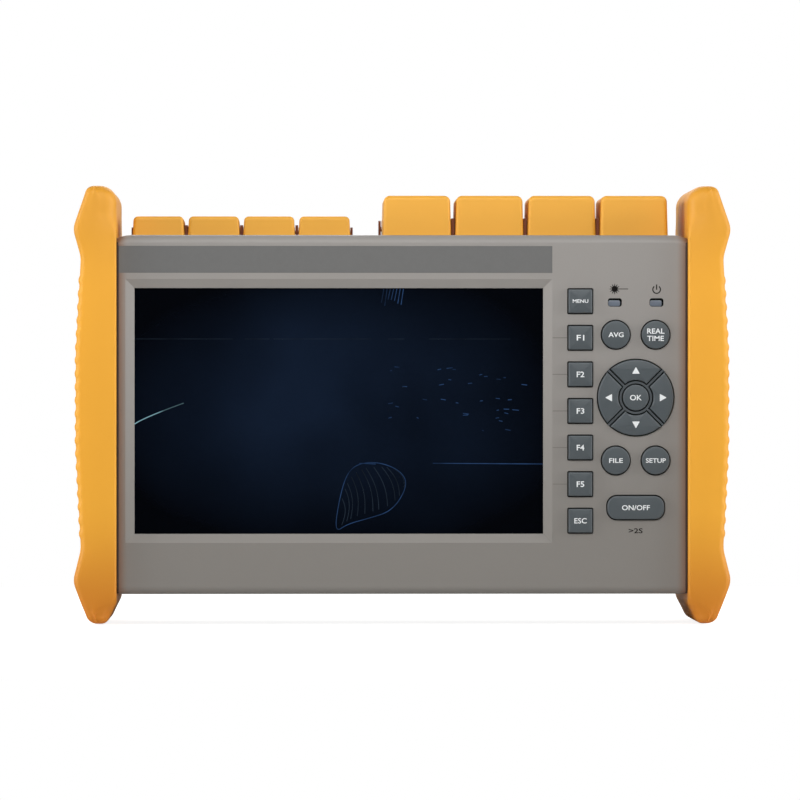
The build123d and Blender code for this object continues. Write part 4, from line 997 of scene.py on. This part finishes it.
def pale_floor(tint):
    """Matt painted floor with a faint drift of tone.

    The camera sees it lifted by a glow, and pure white past the far edge, in metres from
    the origin. Other rays see the matt paint alone.
    """
    tree, place = new_material("pale_floor")
    drift = add_node(tree, "TexNoise", {"Vector": place, "Scale": 3.0})
    base = add_node(tree, "Mix", {
        0: drift.outputs["Fac"], 6: shade(tint, 0.985), 7: shade(tint, 1.0),
    }, data_type="RGBA").outputs[2]
    glow, near_edge, far_edge = 0.88, 0.22, 0.45
    path = add_node(tree, "LightPath")
    matt = add_node(tree, "BsdfDiffuse", {"Color": base})
    lift = add_node(tree, "Emission", {"Color": (1, 1, 1, 1), "Strength": glow})
    near = add_node(tree, "AddShader", {0: matt.outputs[0], 1: lift.outputs[0]})
    white = add_node(tree, "Emission", {"Color": (1, 1, 1, 1), "Strength": 1.0})
    away = add_node(tree, "VectorMath", {0: place}, operation="LENGTH")
    fade = add_node(tree, "MapRange", {
        "Value": away.outputs["Value"], "From Min": near_edge, "From Max": far_edge,
    }, interpolation_type="SMOOTHSTEP").outputs["Result"]
    seen = add_node(tree, "MixShader", {
        0: fade, 1: near.outputs[0], 2: white.outputs[0]})
    shader = add_node(tree, "MixShader", {
        0: path.outputs["Is Camera Ray"], 1: matt.outputs[0], 2: seen.outputs[0]})
    finish(tree, shader)


def black_cloth():
    """Black velvet with a fine weave, which swallows nearly all light."""
    tree = new_material("black_cloth")[0]
    weave = add_node(tree, "TexNoise", {"Scale": 400.0})
    cloth = add_node(tree, "Mix", {
        0: weave.outputs["Fac"], 6: (0.002, 0.002, 0.002, 1), 7: (0.006, 0.006, 0.007, 1),
    }, data_type="RGBA").outputs[2]
    finish(tree, add_node(tree, "BsdfDiffuse", {"Color": cloth}))


def lay_sheet(name, low, high, count, material):
    """Flat sheet of the stage between two corners in millimetres; y and z rise together."""
    share = np.linspace(0, 1, count)
    across, along = np.meshgrid(share, share)
    grid = np.array(low) + np.subtract(high, low) * np.stack([across, along, along], -1)
    mesh = bpy.data.meshes.new(name)
    mesh.from_pydata((grid.reshape(-1, 3) * MM).tolist(), [],
                     grid_faces(count, count, closed=False).tolist())
    mesh.materials.append(bpy.data.materials[material])
    sheet = bpy.data.objects.new(name, mesh)
    bpy.context.scene.collection.objects.link(sheet)
    return sheet


def solids_by_finish():
    """Names of the solids that have each finish. A new piece may stand for a solid later."""
    return {
        "front_shell_abs": ["front_shell"],
        "spark_eroded_abs": ["rear_shell", "battery_cover", "stand"],
        "overmoulded_rubber": ["left_bumper", "right_bumper"],
        "moulded_cover_abs": [n for n in nodes if "_cover_" in n and n[-1].isdigit()],
        "moulded_rail_nylon": ["optical_hinge_rail", "port_hinge_rail"],
        "moulded_key": key_names,
        "moulded_web": ["dpad_frame"],
        "satin_title_film": ["title_strip"],
        "acrylic_lens": ["indicator_lenses"],
        "black_nylon": ["power_jack", "key_switches"],
        "soft_black_rubber": ["case_gasket", "stand_pads"],
        "circuit_board_mask": ["main_board", "keypad_board"],
        "battery_wrap": ["battery_pack"],
        "cast_aluminium_paint": ["optical_module"],
        "lcd_housing": ["lcd_panel"],
        "stainless_pin": ["cover_hinge_pins", "stand_pins"],
        "zinc_plated_steel": [
            "case_screws", "board_screws", "battery_cover_screws", "display_bracket",
            "board_standoffs", "ethernet_socket", "usb_host_socket", "usb_device_socket",
        ],
        "nickel_plated_brass": [f"optical_adapter_{n}" for n in range(1, 5)],
        "coated_dark_glass": ["display_window"],
    }


class MakeFinishes(bpy.types.Operator):
    """Materials of every piece, and their place on the solids that stay visible"""

    bl_idname = "reflectometer.make_finishes"
    bl_label = "Make Finishes"

    def execute(self, context):
        tone = context.scene.reflectometer_finishes
        # Spark eroded ABS: a fine satin grain that kills reflections. The real grain of
        # 0.1 mm is drawn at 0.8 mm so that it shows.
        moulded("spark_eroded_abs", tone.case, 0.8, 0.02, 0.46, spread=0.035)
        # The same ABS on the front. Its fades stand in for the photo's light: painted shade
        # deeper towards the floor, and a painted brown shadow and reflection beside the rubber.
        lip_x = case_side_x - lip_overlap
        moulded("front_shell_abs", tone.case, 0.8, 0.02, 0.46, spread=0.035, fades=[
            ("Z", 125, 25, tone.case_low),
            ("X", lip_x - 4.5, lip_x + 0.3, tone.case_side)])
        # Overmoulded thermoplastic rubber: soft satin, with painted shade deeper in the horns
        # and feet.
        moulded("overmoulded_rubber", tone.bumper, 0.9, 0.02, 0.55, spread=0.03, fades=[
            ("Z", 48, 0, tone.bumper_low), ("Z", 125, 160, tone.bumper_high)])
        # Moulded ABS lids: smoother than the case, with a soft highlight.
        moulded("moulded_cover_abs", tone.cover, 0.9, 0.015, 0.48, spread=0.035,
                cloud_mm=18)
        # Nylon rails and webs in painted shade: the covers' yellow drawn matt and dark brown,
        # as it looks between the covers.
        moulded("moulded_rail_nylon", tone.rail, 0.7, 0.02, 0.6)
        # Slate grey ABS key caps: a fine matt grain, and painted shade that turns the skirts
        # near black behind the panel.
        moulded("moulded_key", tone.key, 0.6, 0.02, 0.42, spread=0.05, cloud_mm=6,
                fades=[("Y", 0.5 - front_y, -0.2 - front_y, linear("0B0C0D"))])
        # Moulded ABS web, as dark as the keys round it: a fine matt grain.
        moulded("moulded_web", tone.web, 0.6, 0.02, 0.5)
        # Satin plastic film of the title strip: flat grey with a fine mottle.
        moulded("satin_title_film", tone.title, 0.5, 0.012, 0.5, spread=0.06, cloud_mm=2)
        # Clear acrylic light pipes: glossy, and dulled by the dark behind them.
        moulded("acrylic_lens", tone.lens, 1.5, 0.005, 0.12, spread=0.1, cloud_mm=3)
        # Moulded nylon of sockets and switches: plain satin black.
        moulded("black_nylon", linear("1A1A1B"), 0.6, 0.02, 0.5)
        # Painted shade: the nylon wall of a lamp well is matt black, so that it stays dark by
        # the lens.
        moulded("lamp_well_black", linear("0C0C0D"), 0.6, 0.02, 0.9,
                **{"Specular IOR Level": 0.03})
        # Painted shadow: dark brown rubber for the bead where the bumper's lip meets the panel.
        moulded("seam_shadow_rubber", linear("2A1408"), 0.8, 0.01, 0.7)
        # Moulded soft rubber of the seal and the stand's pads: dull and near black.
        moulded("soft_black_rubber", linear("171717"), 0.8, 0.03, 0.7)
        # Solder mask over glass cloth: green with a faint weave sized grain.
        moulded("circuit_board_mask", linear("1E4A2C"), 0.4, 0.01, 0.35, spread=0.12)
        # Shrunk PVC sleeve of the battery: smooth, dark blue and a little glossy.
        moulded("battery_wrap", linear("24324A"), 3.0, 0.01, 0.3, spread=0.08)
        # Painted cast aluminium: pale grey with a coarse orange peel.
        moulded("cast_aluminium_paint", linear("8D9094"), 1.2, 0.05, 0.55)
        # Pressed and painted back of the display: even dark grey.
        moulded("lcd_housing", linear("222427"), 0.8, 0.01, 0.4)
        # Metals: ground steel with marks along the pins, dull zinc and warmer nickel.
        metal("stainless_pin", linear("B9BBBD"), 0.28, 0.6, (12, 1, 1))
        metal("zinc_plated_steel", linear("A9ABAE"), 0.32, 0.5)
        metal("nickel_plated_brass", linear("C4C0B4"), 0.25, 0.5)
        # Screen printed inks: flat, with sharp edges.
        ink("white_ink", tone.legend)
        ink("black_ink", tone.print, sheen=0.1)
        ink("grey_ink", tone.line)
        # Lines of the display behind its glass: three strengths of a cold blue.
        trace("dim_trace", linear("1D2733"))
        trace("deep_trace", linear("253F66"))
        trace("bright_trace", linear("7FA9B5"))
        # Coated clear window over the unlit display: near black, sharp, hardly reflecting.
        dark_glass("coated_dark_glass", tone.glass, tone.glow)

        dressed = set()
        for material, names in solids_by_finish().items():
            for name in names:
                slots = nodes[name].data.materials
                slots.clear()
                slots.append(bpy.data.materials[material])
                dressed.add(name)
        left = sorted(set(nodes) - dressed)
        if left:
            raise RuntimeError(f"solids without a finish: {left}")
        return {"FINISHED"}


class MakeStudio(bpy.types.Operator):
    """Camera, four soft lamps, an even surround, a pale floor and two dark cloths"""

    bl_idname = "reflectometer.make_studio"
    bl_label = "Make Studio"

    def execute(self, context):
        studio = context.scene.reflectometer_studio
        scene = context.scene
        scene.view_settings.view_transform = "Standard"
        lens = bpy.data.cameras.new("photo_camera")
        lens.sensor_width = 36
        lens.lens = lens.sensor_width * studio.distance / studio.view_width
        lens.clip_start = 0.05
        lens.clip_end = 50
        camera = bpy.data.objects.new("photo_camera", lens)
        camera.location = (-studio.sidestep, -studio.distance, studio.height)
        aim_x = -0.91
        aim = Vector((aim_x * MM, front_y * MM, studio.height)) - camera.location
        camera.rotation_euler = aim.to_track_quat("-Z", "Y").to_euler()
        scene.collection.objects.link(camera)
        scene.camera = camera

        def lamp(name, place, target, size, watts):
            """Rectangular soft lamp at a place in metres, turned to a target."""
            data = bpy.data.lights.new(name, "AREA")
            data.shape = "RECTANGLE"
            data.size, data.size_y = size
            data.energy = watts
            light = bpy.data.objects.new(name, data)
            light.location = place
            light.rotation_euler = (
                Vector(target) - Vector(place)).to_track_quat("-Z", "Y").to_euler()
            scene.collection.objects.link(light)

        lamp("key_lamp", (0, -0.38, 0.32), (0, -0.03, 0.13), (0.6, 0.16), studio.key_power)
        for name, side in (("left_lamp", -1), ("right_lamp", 1)):
            lamp(name, (1.4 * side, -0.27, 0.3), (0, -0.03, 0.09), (0.5, 1.0),
                 studio.side_power)
        lamp("back_lamp", (0, 1.3, 0.9), (0, 0.03, 0.09), (1.0, 0.6), studio.back_power)

        scene.world = even_surround(studio.ambient)
        pale_floor(studio.floor)
        lay_sheet("floor", (-9000, -9000, 0), (9000, 9000, 0), 25, "pale_floor")
        # The cloths are seen in reflections only, and keep the display's window dark.
        black_cloth()
        for name, low, high in (
                ("camera_cloth", (-700, -2450, -500), (700, -2450, 900)),
                ("floor_cloth", (-420, -2450, 1.5), (420, -260, 1.5))):
            drape = lay_sheet(name, low, high, 9, "black_cloth")
            for ray in ("camera", "diffuse", "shadow", "transmission"):
                setattr(drape, "visible_" + ray, False)
        return {"FINISHED"}


OPERATORS = [
    MakeFinishes, MakeBumpers, MakeSeams, MakeHingeWebs, MakeKeys, MakeLegends,
    MakePanelPrint, MakeLampWells, MakeScreenTraces, MakeStudio,
]
GROUPS = {
    "reflectometer_finishes": ReflectometerFinishes,
    "reflectometer_forms": ReflectometerForms,
    "reflectometer_studio": ReflectometerStudio,
}


class ReflectometerPanel(bpy.types.Panel):
    """Sizes, colours and the steps that dress the reflectometer"""

    bl_idname = "VIEW3D_PT_reflectometer"
    bl_label = "Reflectometer"
    bl_space_type = "VIEW_3D"
    bl_region_type = "UI"
    bl_category = "Reflectometer"

    def draw(self, context):
        for name, group in GROUPS.items():
            box = self.layout.box()
            for item in group.__annotations__:
                box.prop(getattr(context.scene, name), item)
        for operator in OPERATORS:
            self.layout.operator(operator.bl_idname)


CLASSES = [*GROUPS.values(), *OPERATORS, ReflectometerPanel]


def register():
    for item in CLASSES:
        bpy.utils.register_class(item)
    for name, group in GROUPS.items():
        setattr(bpy.types.Scene, name, PointerProperty(type=group))


def unregister():
    for name in GROUPS:
        delattr(bpy.types.Scene, name)
    for item in reversed(CLASSES):
        bpy.utils.unregister_class(item)


def main():
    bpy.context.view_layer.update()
    register()
    for operator in OPERATORS:
        group, name = operator.bl_idname.split(".")
        getattr(getattr(bpy.ops, group), name)()
    bpy.context.view_layer.update()


if __name__ == "__main__":
    main()
